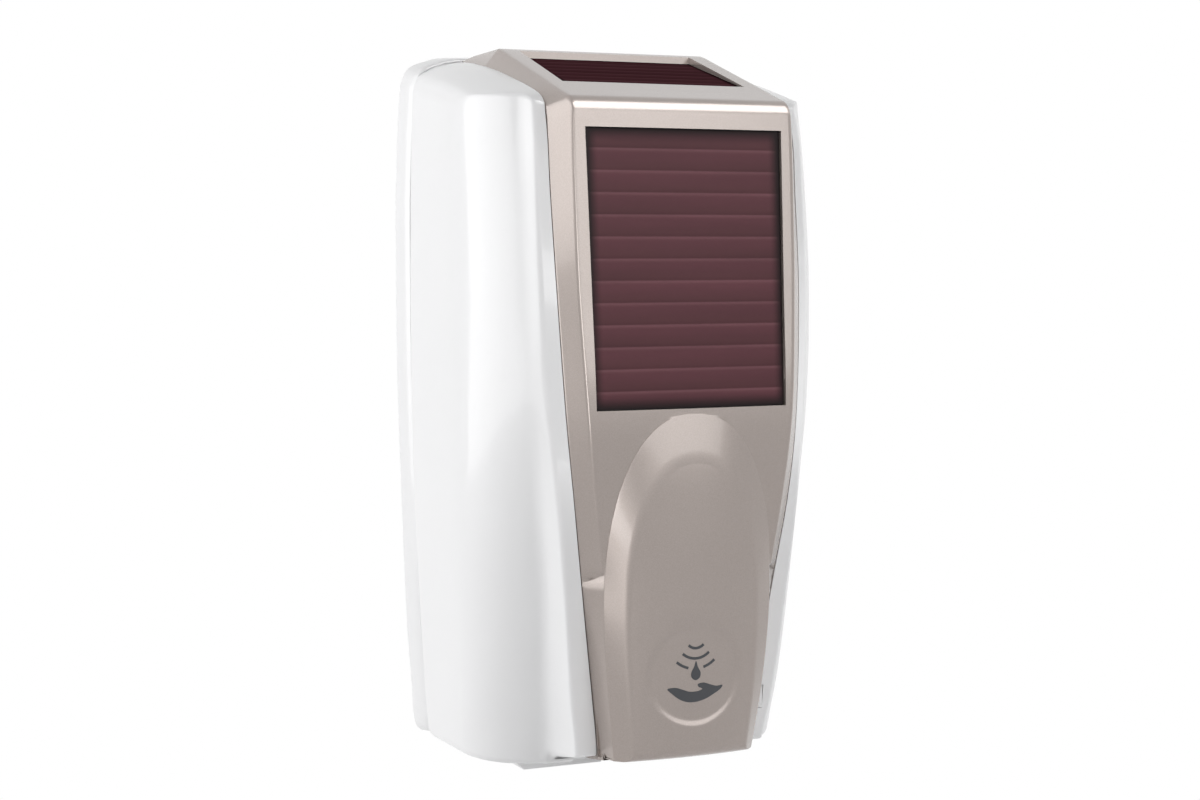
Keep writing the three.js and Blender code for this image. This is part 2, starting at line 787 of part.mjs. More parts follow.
const plateOutlineShares = [
  [0.82, 0.0145], [0.877, 0.018], [0.911, 0.036], [0.923, 0.087], [0.94, 0.141], [0.956, 0.214],
  [0.975, 0.355], [0.997, 0.547], [1, 0.7], [1, 0.786], [0.986, 0.891], [0.973, 0.942],
  [0.964, 0.96], [0.921, 0.98], [0.822, 0.9908], [0.718, 0.9964], [0.41, 0.9989],
];

function plateRing(away, distance) {
  const draft = plateDraftShare * (away / plateDepth);
  const half = plateOutlineShares.map(([x, z]) => {
    const spread = (z - 1 / 2) * (1 - draft / 2) + 1 / 2;
    return [x * halfWidth * (1 - draft), spread * height];
  });
  return inset(mirrored(half), distance).map(([x, z]) => [x, away, z]);
}

const buttonBack = plateFloor + 2 * gap;
const buttonFront = buttonBack + buttonDepth;
const buttonHalf = buttonWidth / 2;
const guideFoot = latchHeight - springRoom - guideFloor;
const chassisScrewX = chassisScrewSideShare * chassisHalfWidth;
const chassisScrewSpots = [chassisScrewHeight, height - chassisScrewDrop]
  .flatMap((z) => [[-chassisScrewX, z], [chassisScrewX, z]]);

function backPlate() {
  const tub = loft([plateRing(0, 0), plateRing(plateDepth, 0)]);
  const hollow = loft([plateRing(plateFloor, wall), plateRing(plateDepth + overrun, wall)]);
  const lugs = sides.flatMap(([side]) => {
    const arm = rectangle([plateFloor / 2, hingeDepth],
      [hingeHeight - hingeBossRadius, hingeHeight + hingeBossRadius]);
    return [
      acrossOn(side, arm, hingeLugInner, hingeLugOuter),
      acrossOn(side, circle(hingeBossRadius, hingePoint), hingeLugInner, hingeLugOuter),
    ];
  });
  const lugReach = [hingeLugInner - overrun, hingeLugOuter + overrun];
  const pinHoles = sides.map(([side]) => acrossOn(side, circle(pinHoleRadius, hingePoint, 16), ...lugReach));
  const guideOuter = buttonHalf + gap + guideWall;
  const guides = sides.map(([side]) => {
    const xs = [side * (buttonHalf + gap), side * guideOuter].sort((a, b) => a - b);
    return block(xs, [plateFloor / 2, buttonFront], [guideFoot, latchHeight + guideReach]);
  });
  const springSeat = block([-guideOuter, guideOuter], [plateFloor / 2, buttonFront],
    [guideFoot, guideFoot + guideFloor]);
  const buttonSlot = block(
    [-buttonHalf - gap, buttonHalf + gap],
    [buttonBack - gap, buttonFront + gap],
    [latchHeight + guideReach, shellLimit],
  );
  const slots = [-1, 1].flatMap((x) => [-1, 1].map((z) => {
    const centre = [x * mountSlotSpacingX / 2, height / 2 + z * mountSlotSpacingZ / 2];
    const outline = roundedRectangle(
      [centre[0] - mountSlotWidth / 2, centre[0] + mountSlotWidth / 2],
      [centre[1] - mountSlotLength / 2, centre[1] + mountSlotLength / 2],
      mountSlotWidth / 2,
    );
    return prismOut(outline, -overrun, plateFloor + overrun);
  }));
  const screwHoles = chassisScrewSpots.map((spot) =>
    prismOut(circle(screwShankRadius + gap, spot, 12), plateFloor - screwSeat - gap, plateFloor + overrun));
  return cut(join(cut(tub, hollow), ...lugs, ...guides, springSeat), ...pinHoles, buttonSlot, ...slots,
    ...screwHoles);
}

// Latch: a sprung button in the plate's top rim whose hook stands before the cover's catch

const catchFoot = latchHeight + hookReach;
const hookBack = catchDepth + catchThickness + gap;
const springTop = latchHeight - gap;

function latchButton() {
  const post = block([-buttonHalf, buttonHalf], [buttonBack, buttonFront],
    [latchHeight, panelTopAt(plateDepth / 2) + buttonProud]);
  const arm = block([-catchWidth / 2, catchWidth / 2], [buttonFront - gap, hookBack + catchThickness],
    [latchHeight, latchHeight + catchThickness]);
  const tip = block([-catchWidth / 2, catchWidth / 2], [hookBack, hookBack + catchThickness],
    [latchHeight, catchFoot - 2 * gap]);
  return join(post, arm, tip);
}

function coverCatch() {
  const plateXs = [-catchWidth / 2 - catchFlange, catchWidth / 2 + catchFlange];
  const flange = block(plateXs, [catchDepth, catchDepth + catchLength],
    [catchZ - catchThickness / 2, catchZ]);
  const hook = block([-catchWidth / 2, catchWidth / 2], [catchDepth, catchDepth + catchThickness],
    [catchFoot, catchZ - gap]);
  const holes = catchScrewSpots.map(([x, away]) =>
    prismUp(circle(screwShankRadius + gap, [x, away], 12), catchZ - overrun, catchZ + overrun));
  return cut(join(flange, hook), ...holes);
}

class Helix extends THREE.Curve {
  constructor(centre, radius, turns, foot, top) {
    super();
    Object.assign(this, { centre, radius, turns, foot, top });
  }

  getPoint(t) {
    const angle = t * this.turns * 2 * Math.PI;
    const [x, away] = this.centre;
    const z = this.foot + t * (this.top - this.foot);
    return new THREE.Vector3(x + this.radius * Math.cos(angle), -away + this.radius * Math.sin(angle), z);
  }
}

function spring(centre, radius, wire, turns, foot, top) {
  const outline = new THREE.Shape(circle(wire, [0, 0], 5).map(([a, b]) => new THREE.Vector2(a, b)));
  const path = new Helix(centre, radius, turns, foot + wire, top - wire);
  return toSolid(new THREE.ExtrudeGeometry(outline, { steps: turns * 8, extrudePath: path }));
}

// Chassis: a panel on the back plate with a shelf for the refill, a floor and two ribs

const shelfTop = shelfHeight + shelfThickness;
const bottleFoot = shelfTop + gap;
const bayHalf = collarOuter + 3 * gap;
const ribOuter = bayHalf + chassisRib;
const panelBack = plateFloor + gap;
const panelFront = panelBack + chassisPanel;
const floorTop = chassisFoot + chassisRib;
const floorDepth = plan(chassisFoot).valleyD - wall - floorMargin;

function chassis() {
  const half = [-chassisHalfWidth, chassisHalfWidth];
  const panel = block(half, [panelBack, panelFront], [chassisFoot, guideFoot - gap]);
  const shelf = block(half, [panelBack, pumpDepth + shelfReach], [shelfHeight, shelfTop]);
  const floor = block(half, [panelBack, floorDepth], [chassisFoot, floorTop]);
  const ribXs = [[-ribOuter, -bayHalf], [bayHalf, ribOuter]];
  const ribs = ribXs.map((xs) => block(xs, [panelBack, ribDepth], [chassisFoot, shelfTop]));
  const notch = (radius, heights) => join(
    prismUp(circle(radius, [0, pumpDepth], 32), ...heights),
    block([-radius, radius], [pumpDepth, depth], heights),
  );
  const neckNotch = notch(collarOuter + 2 * gap, [shelfHeight - overrun, shelfTop + overrun]);
  const stemNotch = notch(stemRadius + floorMargin / 2, [chassisFoot - overrun, floorTop + overrun]);
  const screwHoles = chassisScrewSpots.map((spot) =>
    prismOut(circle(screwShankRadius + gap, spot, 12), 0, panelFront + overrun));
  const guardHoles = guardScrewSpots.map((spot) =>
    prismUp(circle(screwShankRadius + gap, spot, 12), chassisFoot - overrun, floorTop + overrun));
  const beamSlot = block([-ribOuter - overrun / 2, 0], [gearPlanes[2][0] - gap, depth],
    [yokeFoot - gap, yokeTop + pumpStroke + gap]);
  return cut(join(panel, shelf, floor, ...ribs), neckNotch, stemNotch, beamSlot, ...screwHoles,
    ...guardHoles);
}

const guardScrewSpots = [-1, 1].map((side) => [side * guardScrewX, guardScrewDepth]);

// A round-headed screw along the depth, whose shank points to the wall
function screwIn(spot, seat, shank) {
  return join(
    prismOut(circle(screwHeadRadius, spot, 12), seat, seat + screwHeadHeight),
    prismOut(circle(screwShankRadius, spot, 12), seat - shank, seat + screwHeadHeight / 2),
  );
}

// A screw along the height: direction 1 points its shank up
function screwUp(spot, seat, shank, direction) {
  const span = (a, b) => [seat + direction * a, seat + direction * b].sort((low, high) => low - high);
  return join(
    prismUp(circle(screwHeadRadius, spot, 12), ...span(-screwHeadHeight, 0)),
    prismUp(circle(screwShankRadius, spot, 12), ...span(-screwHeadHeight / 2, shank)),
  );
}

// Refill: bottle with its neck down, collar, pump body, and the stem that the drive lifts

const underTop = between(whiteTopShares, plan(shelfTop).valleyD / depth)[1] * height;
const bottleTop = underTop - panelPocket - wall - bottleHeadroom;
const bottleFront = plan(bottleTop).valleyD - wall - bottleClearance;
const neckFoot = shelfTop - neckLength;
const pumpTop = neckFoot - gap;
const pumpFoot = pumpTop - pumpBodyLength;
const pumpFlange = neckRadius;
const pumpBodyRadius = stemRadius + gap + pumpBodyWall;

function refillBottle() {
  const outline = (distance) => inset(
    roundedRectangle([-bottleHalfWidth, bottleHalfWidth], [bottleBack, bottleFront], bottleCorner),
    distance,
  );
  const levels = [
    [bottleFoot, bottleRound],
    [bottleFoot + bottleRound * easeShare, bottleRound * easeShare],
    [bottleFoot + bottleRound, 0],
    [bottleTop - bottleRound, 0],
    [bottleTop - bottleRound * easeShare, bottleRound * easeShare],
    [bottleTop, bottleRound],
  ];
  const tank = loft(levels.map(([z, distance]) => outline(distance).map(([x, away]) => [x, away, z])));
  return join(tank, prismUp(circle(neckRadius, [0, pumpDepth], 32), neckFoot, bottleFoot + bottleRound));
}

function ringUp(outer, inner, low, high, sidesCount = 32) {
  return cut(
    prismUp(circle(outer, [0, pumpDepth], sidesCount), low, high),
    prismUp(circle(inner, [0, pumpDepth], sidesCount), low - overrun, high + overrun),
  );
}

function refillCollar() {
  const low = pumpTop - collarDrop;
  return join(
    ringUp(collarOuter, neckRadius + gap, low, shelfTop),
    ringUp(collarOuter - gap, pumpBodyRadius + gap, low, low + collarWall),
  );
}

function pumpBody() {
  const flangeFoot = pumpTop - collarDrop + collarWall + gap;
  const body = join(
    prismUp(circle(pumpFlange, [0, pumpDepth], 32), flangeFoot, pumpTop),
    prismUp(circle(pumpBodyRadius, [0, pumpDepth], 32), pumpFoot, pumpTop - gap),
  );
  return cut(body, prismUp(circle(stemRadius + gap, [0, pumpDepth], 24), pumpFoot - overrun,
    stemTop + pumpStroke + 3 * gap));
}

const flangeFoot = pumpFoot - pumpStroke - 2 * springWire - flangeThickness - 3 * gap;

function pumpStem() {
  const stem = join(
    prismUp(circle(stemRadius, [0, pumpDepth], 24), stemFoot, stemTop),
    prismUp(circle(flangeRadius, [0, pumpDepth], 24), flangeFoot, flangeFoot + flangeThickness),
  );
  return cut(stem, prismUp(circle(outletRadius, [0, pumpDepth], 16), stemFoot - overrun,
    stemFoot + outletLength));
}

// Drive: motor pinion, idler and output gear between two plates, and a rack that lifts
// the carriage. Every place follows from the rib, the rack and the numbers of teeth.

const pitchRadius = (teeth) => (gearModule * teeth) / 2;
const rackPlainX = -(ribOuter + gap);
const rackPitchX = rackPlainX - rackThickness - toothRootShare * gearModule;
const outputSpot = [rackPitchX - pitchRadius(rackPinionTeeth) - meshPlay, outputHeight];
const idlerAngle = (-1 / 4 - idlerTiltShare / 2) * 2 * Math.PI;
const idlerSpot = away(outputSpot, idlerAngle,
  pitchRadius(outputTeeth) + pitchRadius(idlerPinionTeeth) + meshPlay);
const motorAngle = (-1 / 4 - motorTiltShare / 2) * 2 * Math.PI;
const motorSpot = away(idlerSpot, motorAngle,
  pitchRadius(idlerTeeth) + pitchRadius(pinionTeeth) + meshPlay);

function away([x, z], angle, distance) {
  return [x + distance * Math.cos(angle), z + distance * Math.sin(angle)];
}

const planeStep = gearWidth + 2 * gap;
const gearPlanes = [0, 1, 2].map((i) => {
  const low = frameDepth + framePlate + 2 * gap + i * planeStep;
  return [low, low + gearWidth];
});
const coverPlateBack = gearPlanes[2][1] + 2 * gap;
const coverPlateFront = coverPlateBack + framePlate;
const frameLeft = idlerSpot[0] - pitchRadius(idlerTeeth) - gearModule - frameMargin;
const frameRight = rackPlainX;
const frameHeights = [floorTop + gap, shelfHeight - gap];

// The phase is the angle of one tooth
function gearOutline(teeth, [x, z], phase) {
  const step = (2 * Math.PI) / teeth;
  const tip = pitchRadius(teeth) + toothTipShare * gearModule;
  const root = pitchRadius(teeth) - toothRootShare * gearModule;
  const corners = [[root, -toothRootHalfShare], [tip, -toothTipHalfShare], [tip, toothTipHalfShare],
    [root, toothRootHalfShare]];
  return Array.from({ length: teeth }, (_, i) => corners.map(([radius, turn]) => {
    const angle = phase + (i + turn) * step;
    return [x + radius * Math.cos(angle), z + radius * Math.sin(angle)];
  })).flat();
}

// Phases with a tooth of one gear in a gap of the next
const halfTooth = (teeth) => Math.PI / teeth;
const idlerPinionPhase = idlerAngle + Math.PI + halfTooth(idlerPinionTeeth);
const motorPinionPhase = motorAngle + Math.PI + halfTooth(pinionTeeth);

function bored(solid, radius, spot, [low, high]) {
  return cut(solid, prismOut(circle(radius, spot, 16), low - overrun, high + overrun));
}

function motor() {
  const rear = frameDepth - gap - motorLength;
  return join(
    prismOut(circle(motorRadius, motorSpot, 28), rear, frameDepth - gap),
    prismOut(circle(motorShaftRadius, motorSpot, 12), frameDepth - framePlate, gearPlanes[0][1] + gap),
  );
}

function motorPinion() {
  const pinion = prismOut(gearOutline(pinionTeeth, motorSpot, motorPinionPhase), ...gearPlanes[0]);
  return bored(pinion, motorShaftRadius + gap, motorSpot, gearPlanes[0]);
}

function twoGears(spot, [firstPlane, firstTeeth, firstPhase], [secondPlane, secondTeeth, secondPhase]) {
  const [first, second] = [gearPlanes[firstPlane], gearPlanes[secondPlane]];
  const wheel = join(
    prismOut(gearOutline(firstTeeth, spot, firstPhase), ...first),
    prismOut(gearOutline(secondTeeth, spot, secondPhase), first[1] - gap, second[1]),
  );
  return bored(wheel, axleRadius + gap, spot, [first[0], second[1]]);
}

function axle(spot, front) {
  return prismOut(circle(axleRadius, spot, 16), frameDepth + gap, front);
}

const postSpots = [frameLeft, rackPitchX - frameMargin].flatMap((x, i) => frameHeights.map((z, k) => [
  x + (i === 0 ? 1 : -1) * (postRadius + gap),
  z + (k === 0 ? 1 : -1) * (postRadius + gap),
]));

function driveFrame() {
  const plate = prismOut(rectangle([frameLeft, frameRight], frameHeights), frameDepth,
    frameDepth + framePlate);
  const posts = postSpots.map((spot) =>
    prismOut(circle(postRadius, spot, 12), frameDepth + framePlate / 2, coverPlateBack - gap));
  const span = [frameDepth, frameDepth + framePlate];
  const axleSeats = [idlerSpot, outputSpot].map((spot) =>
    prismOut(circle(axleRadius + gap, spot, 16), span[0] - overrun, span[1] + overrun));
  const shaftHole = prismOut(circle(2 * motorShaftRadius, motorSpot, 16), span[0] - overrun,
    span[1] + overrun);
  return cut(join(plate, ...posts), ...axleSeats, shaftHole);
}

function gearCover() {
  const plate = prismOut(rectangle([frameLeft, rackPitchX - frameMargin], frameHeights), coverPlateBack,
    coverPlateFront);
  const seats = [idlerSpot, outputSpot].map((spot) =>
    prismOut(circle(axleRadius + gap, spot, 16), coverPlateBack - overrun, coverPlateFront + overrun));
  return cut(plate, ...seats);
}

const yokeTop = flangeFoot - gap;
const yokeFoot = yokeTop - yokeThickness;

function rackOutline() {
  const step = Math.PI * gearModule;
  const [root, tip] = [rackPitchX + toothRootShare * gearModule, rackPitchX - toothTipShare * gearModule];
  const count = Math.ceil(pumpStroke / step) + 3;
  const teeth = Array.from({ length: count }, (_, i) => {
    const z = outputHeight + (3 / 2 - i) * step;
    return [
      [root, z + toothRootHalfShare * step],
      [tip, z + toothTipHalfShare * step],
      [tip, z - toothTipHalfShare * step],
      [root, z - toothRootHalfShare * step],
    ];
  }).flat();
  const top = outputHeight + 2 * step;
  return [[rackPlainX, yokeFoot], [rackPlainX, top], [root, top], ...teeth, [root, yokeFoot]];
}

function pumpCarriage() {
  const [low, high] = gearPlanes[2];
  const rack = prismOut(rackOutline(), low, high);
  const beam = block([rackPlainX - gap, bayHalf - gap], [low, high], [yokeFoot, yokeTop]);
  const ring = prismUp(circle(yokeRadius, [0, pumpDepth], 28), yokeFoot, yokeTop);
  return cut(join(rack, beam, ring),
    prismUp(circle(stemRadius + gap, [0, pumpDepth], 24), yokeFoot - overrun, yokeTop + overrun));
}

// Power: a box with four cells on the other side, its lid, and the boards

const boxX = [ribOuter + gap, ribOuter + 2 * boxWall + 4 * cellRadius + 4 * gap];
const boxFoot = floorTop + gap;
const cellFoot = boxFoot + boxWall + contactThickness + 2 * gap;
const cellTop = cellFoot + cellLength + cellTipLength;
const boxTop = cellTop + contactThickness + boxWall + 2 * gap;
const boxBack = panelFront + gap;
const boxFront = boxBack + boxWall + 4 * cellRadius + 3 * gap;
const switchX = [boxX[0] + switchWidth / 2, boxX[0] + 3 * switchWidth / 2];
const switchZ = boxTop + switchHousing / 2;

function batteryBox() {
  const outer = block(boxX, [boxBack, boxFront], [boxFoot, boxTop]);
  const inner = block([boxX[0] + boxWall, boxX[1] - boxWall], [boxBack + boxWall, boxFront + overrun],
    [boxFoot + boxWall, boxTop - boxWall]);
  const housing = block(switchX, [boxFront - 2 * switchDepth, boxFront],
    [boxTop - boxWall / 2, boxTop + switchHousing]);
  const slotXs = [switchX[0] + boxWall, switchX[1] - boxWall];
  const slot = block(slotXs, [boxFront - switchDepth, boxFront + overrun],
    [switchZ - switchSlot / 2, switchZ + switchSlot / 2]);
  return cut(join(cut(outer, inner), housing), slot);
}

function powerSwitch() {
  const low = switchX[0] + boxWall + gap;
  const high = switchX[1] - boxWall - gap - switchTravel;
  return block([low, high], [boxFront - switchDepth + gap, boxFront + switchKnob],
    [switchZ - switchSlot / 2 + gap, switchZ + switchSlot / 2 - gap]);
}

function cellAt(column, row) {
  const x = boxX[0] + boxWall + gap + cellRadius + column * (2 * cellRadius + gap);
  const d = boxBack + boxWall + gap + cellRadius + row * (2 * cellRadius + gap);
  return join(
    prismUp(circle(cellRadius, [x, d], 20), cellFoot, cellFoot + cellLength),
    prismUp(circle(cellTipRadius, [x, d], 12), cellFoot + cellLength / 2, cellTop),
  );
}

function contactPlate(low) {
  const xs = [boxX[0] + boxWall + gap, boxX[1] - boxWall - gap];
  return block(xs, [boxBack + boxWall + gap, boxFront - gap], [low, low + contactThickness]);
}

function batteryLid() {
  const face = boxFront + gap + boxWall;
  const plate = block(boxX, [boxFront + gap, face], [boxFoot, boxTop]);
  const grips = [1, 2, 3].map((i) => {
    const z = boxTop - 2 * i * boxWall - cellRadius;
    return block([boxX[0] + cellRadius, boxX[1] - cellRadius], [face - boxWall / 2, face + boxWall / 2],
      [z, z + boxWall]);
  });
  return join(plate, ...grips);
}

function controlBoard() {
  const left = frameRight - frameMargin - controlBoardWidth;
  const foot = boxFoot + frameMargin;
  const xs = [left, left + controlBoardWidth];
  const face = panelFront + gap + boardThickness;
  const board = block(xs, [panelFront + gap, face], [foot, foot + controlBoardLength]);
  const chips = [1, 2].map((i) => {
    const z = foot + (i * controlBoardLength) / 3;
    const x = left + (controlBoardWidth - chipSize) / 2;
    return block([x, x + chipSize], [face - gap, face + chipHeight], [z - chipSize / 2, z + chipSize / 2]);
  });
  return join(board, ...chips);
}

function chargeBoard() {
  const centre = (chargeBoardHeights[0] + chargeBoardHeights[1]) / 2;
  const chipHeights = [centre - chipSize / 2, centre + chipSize / 2];
  const chipBehind = chargeBoardBehind + boardThickness - gap;
  const chip = frontSlab(chipHeights, [chipSize / 2, chipSize / 2], chipBehind, chipHeight);
  return join(chargeBoardSlab(chargeBoardBehind, boardThickness), chip);
}

// Hand sensor: two diodes on a board over a dark window, in the guard under the floor

const guardBack = plateDepth + 4 * gap;
const guardTop = chassisFoot - gap;
const guardOuter = guardHalfWidth + guardSlant;
const sensorSpan = [sensorDepth - sensorWindowLength / 2, sensorDepth + sensorWindowLength / 2];
const boardFoot = guardFloor + ledLength + 2 * gap;

function sensorGuard() {
  const outline = [
    [-guardHalfWidth, 0], [guardHalfWidth, 0], [guardOuter, guardSlant], [guardOuter, guardTop],
    [-guardOuter, guardTop], [-guardOuter, guardSlant],
  ];
  const inner = guardHalfWidth - gap;
  const hollow = block([-inner, inner], [guardBack + guardWall, guardDepth - guardWall],
    [guardFloor, guardTop + overrun]);
  const notchWall = prismUp(circle(stemClearRadius + guardWall, [0, pumpDepth], 32), 0, guardTop + overrun);
  const bosses = guardScrewSpots.map((spot) =>
    prismUp(circle(guardBossRadius, spot, 16), guardFloor / 2, guardTop));
  const rests = [-1, 1].map((side) => {
    const xs = [side * (sensorBoardHalfWidth - guardWall),
      side * (sensorBoardHalfWidth - 2 * guardWall)].sort((a, b) => a - b);
    return block(xs, sensorSpan, [guardFloor / 2, boardFoot - gap]);
  });
  const shell = join(cut(prismOut(outline, guardBack, guardDepth), cut(hollow, notchWall)), ...bosses,
    ...rests);
  const notch = prismUp(circle(stemClearRadius, [0, pumpDepth], 32), -overrun, guardTop + overrun);
  const half = sensorWindowWidth / 2 + gap;
  const window = block([-half, half], [sensorSpan[0] - gap, sensorSpan[1] + gap],
    [-overrun, guardFloor + gap]);
  const holes = guardScrewSpots.map((spot) =>
    prismUp(circle(screwShankRadius + gap, spot, 12), guardFloor, guardTop + overrun));
  return cut(shell, notch, window, ...holes);
}

function diode(side) {
  const spot = [side * ledSpacing / 2, sensorDepth];
  return prismUp(circle(ledRadius, spot, 16), guardFloor + gap, guardFloor + gap + ledLength);
}

function sensorBoard() {
  return block([-sensorBoardHalfWidth, sensorBoardHalfWidth], sensorSpan,
    [boardFoot, boardFoot + boardThickness]);
}

// The assembly: one group for each body that moves

function body(parent = model) {
  const group = new THREE.Group();
  parent.add(group);
  return group;
}

const housing = body();
place("back_plate", backPlate(), "white", housing);
place("chassis", chassis(), "acetal", housing);
chassisScrewSpots.forEach((spot, i) => {
  place(`chassis_screw_${i + 1}`,
    screwIn(spot, panelFront + gap, panelFront + gap - plateFloor + screwSeat), "steel", housing);
});
place("sensor_guard", sensorGuard(), "white", housing);
guardScrewSpots.forEach((spot, i) => {
  place(`guard_screw_${i + 1}`, screwUp(spot, floorTop + gap, floorTop - guardTop + screwBite, -1),
    "steel", housing);
});
place("sensor_window", block([-sensorWindowWidth / 2, sensorWindowWidth / 2], sensorSpan,
  [gap, guardFloor]), "slate", housing);
place("hand_emitter", diode(-1), "slate", housing);
place("hand_receiver", diode(1), "black", housing);
place("sensor_board", sensorBoard(), "board", housing);
place("latch_spring", spring([0, (buttonBack + buttonFront) / 2], springRadius, springWire, springTurns,
  guideFoot + guideFloor + gap, springTop), "steel", housing);
place("refill_bottle", refillBottle(), "refill", housing);
place("refill_collar", refillCollar(), "white", housing);
place("pump_body", pumpBody(), "acetal", housing);
place("pump_spring", spring([0, pumpDepth], stemRadius + 2 * springWire + gap, springWire, springTurns,
  flangeFoot + flangeThickness + gap, pumpFoot - gap), "steel", housing);
place("motor", motor(), "steel", housing);
place("drive_frame", driveFrame(), "grey", housing);
place("gear_cover", gearCover(), "grey", housing);
place("idler_axle", axle(idlerSpot, coverPlateFront - gap), "steel", housing);
place("output_axle", axle(outputSpot, coverPlateFront - gap), "steel", housing);
place("control_board", controlBoard(), "board", housing);
place("battery_box", batteryBox(), "black", housing);
place("lower_contacts", contactPlate(boxFoot + boxWall + gap), "brass", housing);
place("upper_contacts", contactPlate(cellTop + gap), "brass", housing);
[0, 1, 2, 3].forEach((i) =>
  place(`battery_cell_${i + 1}`, cellAt(i % 2, Math.floor(i / 2)), "cell", housing));
place("battery_lid", batteryLid(), "grey", housing);

place("latch_button", latchButton(), "white", body());
place("power_switch", powerSwitch(), "black", body());
place("motor_pinion", motorPinion(), "brass", body());
place("idler_gear", twoGears(idlerSpot, [0, idlerTeeth, motorAngle],
  [1, idlerPinionTeeth, idlerPinionPhase]), "acetal", body());
place("output_gear", twoGears(outputSpot, [1, outputTeeth, idlerAngle], [2, rackPinionTeeth, 0]),
  "acetal", body());

const carriage = body();
place("pump_carriage", pumpCarriage(), "grey", carriage);
place("pump_stem", pumpStem(), "acetal", carriage);

const cover = body();
place("cover_shell", coverShell(), "white", cover);
place("face_panel", facePanel(), "panel", cover);
place("front_light_panel", frontPanelSlab(0, frontPanelRecess, lightPanelThickness), "light", cover);
place("top_light_panel", topPanelSlab(0, 0, lightPanelThickness), "light", cover);
const frontBehind = frontPanelRecess + lightPanelThickness + gap;
place("front_panel_frame", frontPanelSlab(frameLip, frontBehind, frameThickness)
  .subtract(frontPanelSlab(-frameLip, frontBehind - overrun, frameThickness + 2 * overrun)),
  "black", cover);
place("top_panel_frame", topPanelSlab(frameLip, lightPanelThickness + 4 * gap, frameThickness)
  .subtract(topPanelSlab(-frameLip, lightPanelThickness - overrun, frameThickness + 2 * overrun)),
  "black", cover);
place("charge_board", chargeBoard(), "board", cover);
place("panel_clip", clipBlock(0, clipProud), "white", cover);
place("cover_catch", coverCatch(), "grey", cover);
catchScrewSpots.forEach((spot, i) => {
  place(`catch_screw_${i + 1}`, screwUp(spot, catchZ - catchThickness / 2 - gap, catchThickness, 1),
    "steel", cover);
});
panelScrewSpots.forEach((spot, i) => {
  const seat = plan(spot[1]).seamD - panelPocket - wall - 2 * gap;
  const screw = join(
    prismOut(circle(screwHeadRadius, spot, 12), seat - screwHeadHeight, seat),
    prismOut(circle(screwShankRadius, spot, 12), seat - screwHeadHeight / 2, seat + wall + screwBite),
  );
  place(`panel_screw_${i + 1}`, screw, "steel", cover);
});
sides.forEach(([side, name]) => {
  place(`hinge_pin_${name}`,
    acrossOn(side, circle(hingePinRadius, hingePoint, 16), hingeLugInner, earOuter - wall / 2 - gap),
    "steel", cover);
});

export default model;
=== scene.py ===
import json
import math
from contextlib import contextmanager

import bmesh
import bpy
import numpy as np
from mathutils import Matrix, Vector

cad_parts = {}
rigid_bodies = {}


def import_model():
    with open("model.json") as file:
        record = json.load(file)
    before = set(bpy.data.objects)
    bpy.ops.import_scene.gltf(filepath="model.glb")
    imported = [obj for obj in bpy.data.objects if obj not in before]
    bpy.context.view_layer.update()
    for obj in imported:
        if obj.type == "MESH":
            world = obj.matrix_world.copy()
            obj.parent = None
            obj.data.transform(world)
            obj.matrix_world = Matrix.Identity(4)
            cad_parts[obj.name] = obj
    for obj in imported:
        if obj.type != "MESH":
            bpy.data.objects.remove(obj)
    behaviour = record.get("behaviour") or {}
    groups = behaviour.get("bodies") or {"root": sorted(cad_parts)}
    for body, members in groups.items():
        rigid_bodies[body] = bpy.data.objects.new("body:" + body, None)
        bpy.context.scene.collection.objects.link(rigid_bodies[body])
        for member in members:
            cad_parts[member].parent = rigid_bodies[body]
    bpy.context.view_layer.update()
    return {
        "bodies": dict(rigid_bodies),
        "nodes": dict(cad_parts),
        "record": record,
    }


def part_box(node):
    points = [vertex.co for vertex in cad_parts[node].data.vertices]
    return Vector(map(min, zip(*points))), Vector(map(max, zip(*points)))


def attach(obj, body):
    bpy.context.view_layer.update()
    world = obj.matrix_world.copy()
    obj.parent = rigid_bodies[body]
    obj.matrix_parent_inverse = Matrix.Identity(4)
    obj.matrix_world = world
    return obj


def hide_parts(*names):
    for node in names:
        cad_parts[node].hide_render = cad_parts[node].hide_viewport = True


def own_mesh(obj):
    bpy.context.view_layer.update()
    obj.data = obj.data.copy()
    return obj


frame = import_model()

nodes = frame["nodes"]

# Sizes in millimetres. Pieces are drawn by x, depth (distance from the wall) and height
# above the lowest point, and placed in metres in the frame of the solids.
MM = 0.001
HEIGHT = 276
HALF_WIDTH = 73
DEPTH = 122
FAR = 400  # well beyond the part on every side, for cutters
BEYOND = -6  # just beyond its back or its foot, for cutters
WELD = 1e-6  # metres

PLATE_DEPTH = 13
COVER_BACK = 13.4
COVER_FOOT = 4.5
SPINE_FOOT = 11.5
FOOT_ROUND = 2.6
BEVEL = 5.7
CHIN = 24.3, 30.0  # half widths of the face panel's foot: inside its bevel, and at the seam
GAP = 0.3  # between the cover and what is set into it
POCKET = 3.4  # depth of the seat of the face panel in the cover
SKIN = 1.3
PANEL_SKIN = 1.1
CORE_INSET = 0.6  # from a drawn skin to the CAD solid kept behind it
CORE_BACK = 0.03

# Rooms in the foot, as half width, front depth and height: ledge, hinge and nozzle
LEDGE_ROOM = (51.5, 66.3, 11.6)
HINGE_ROOM = (58.8, 26.2, 17.2)
NOZZLE_ROOM = (24, 91.98, 20.1)
HINGE_AT = 18, 9
HINGE_CLEAR = 4.6
CLIP_HEIGHT = 0.104 * HEIGHT
CLIP_SIZE = 3.4, 8.5

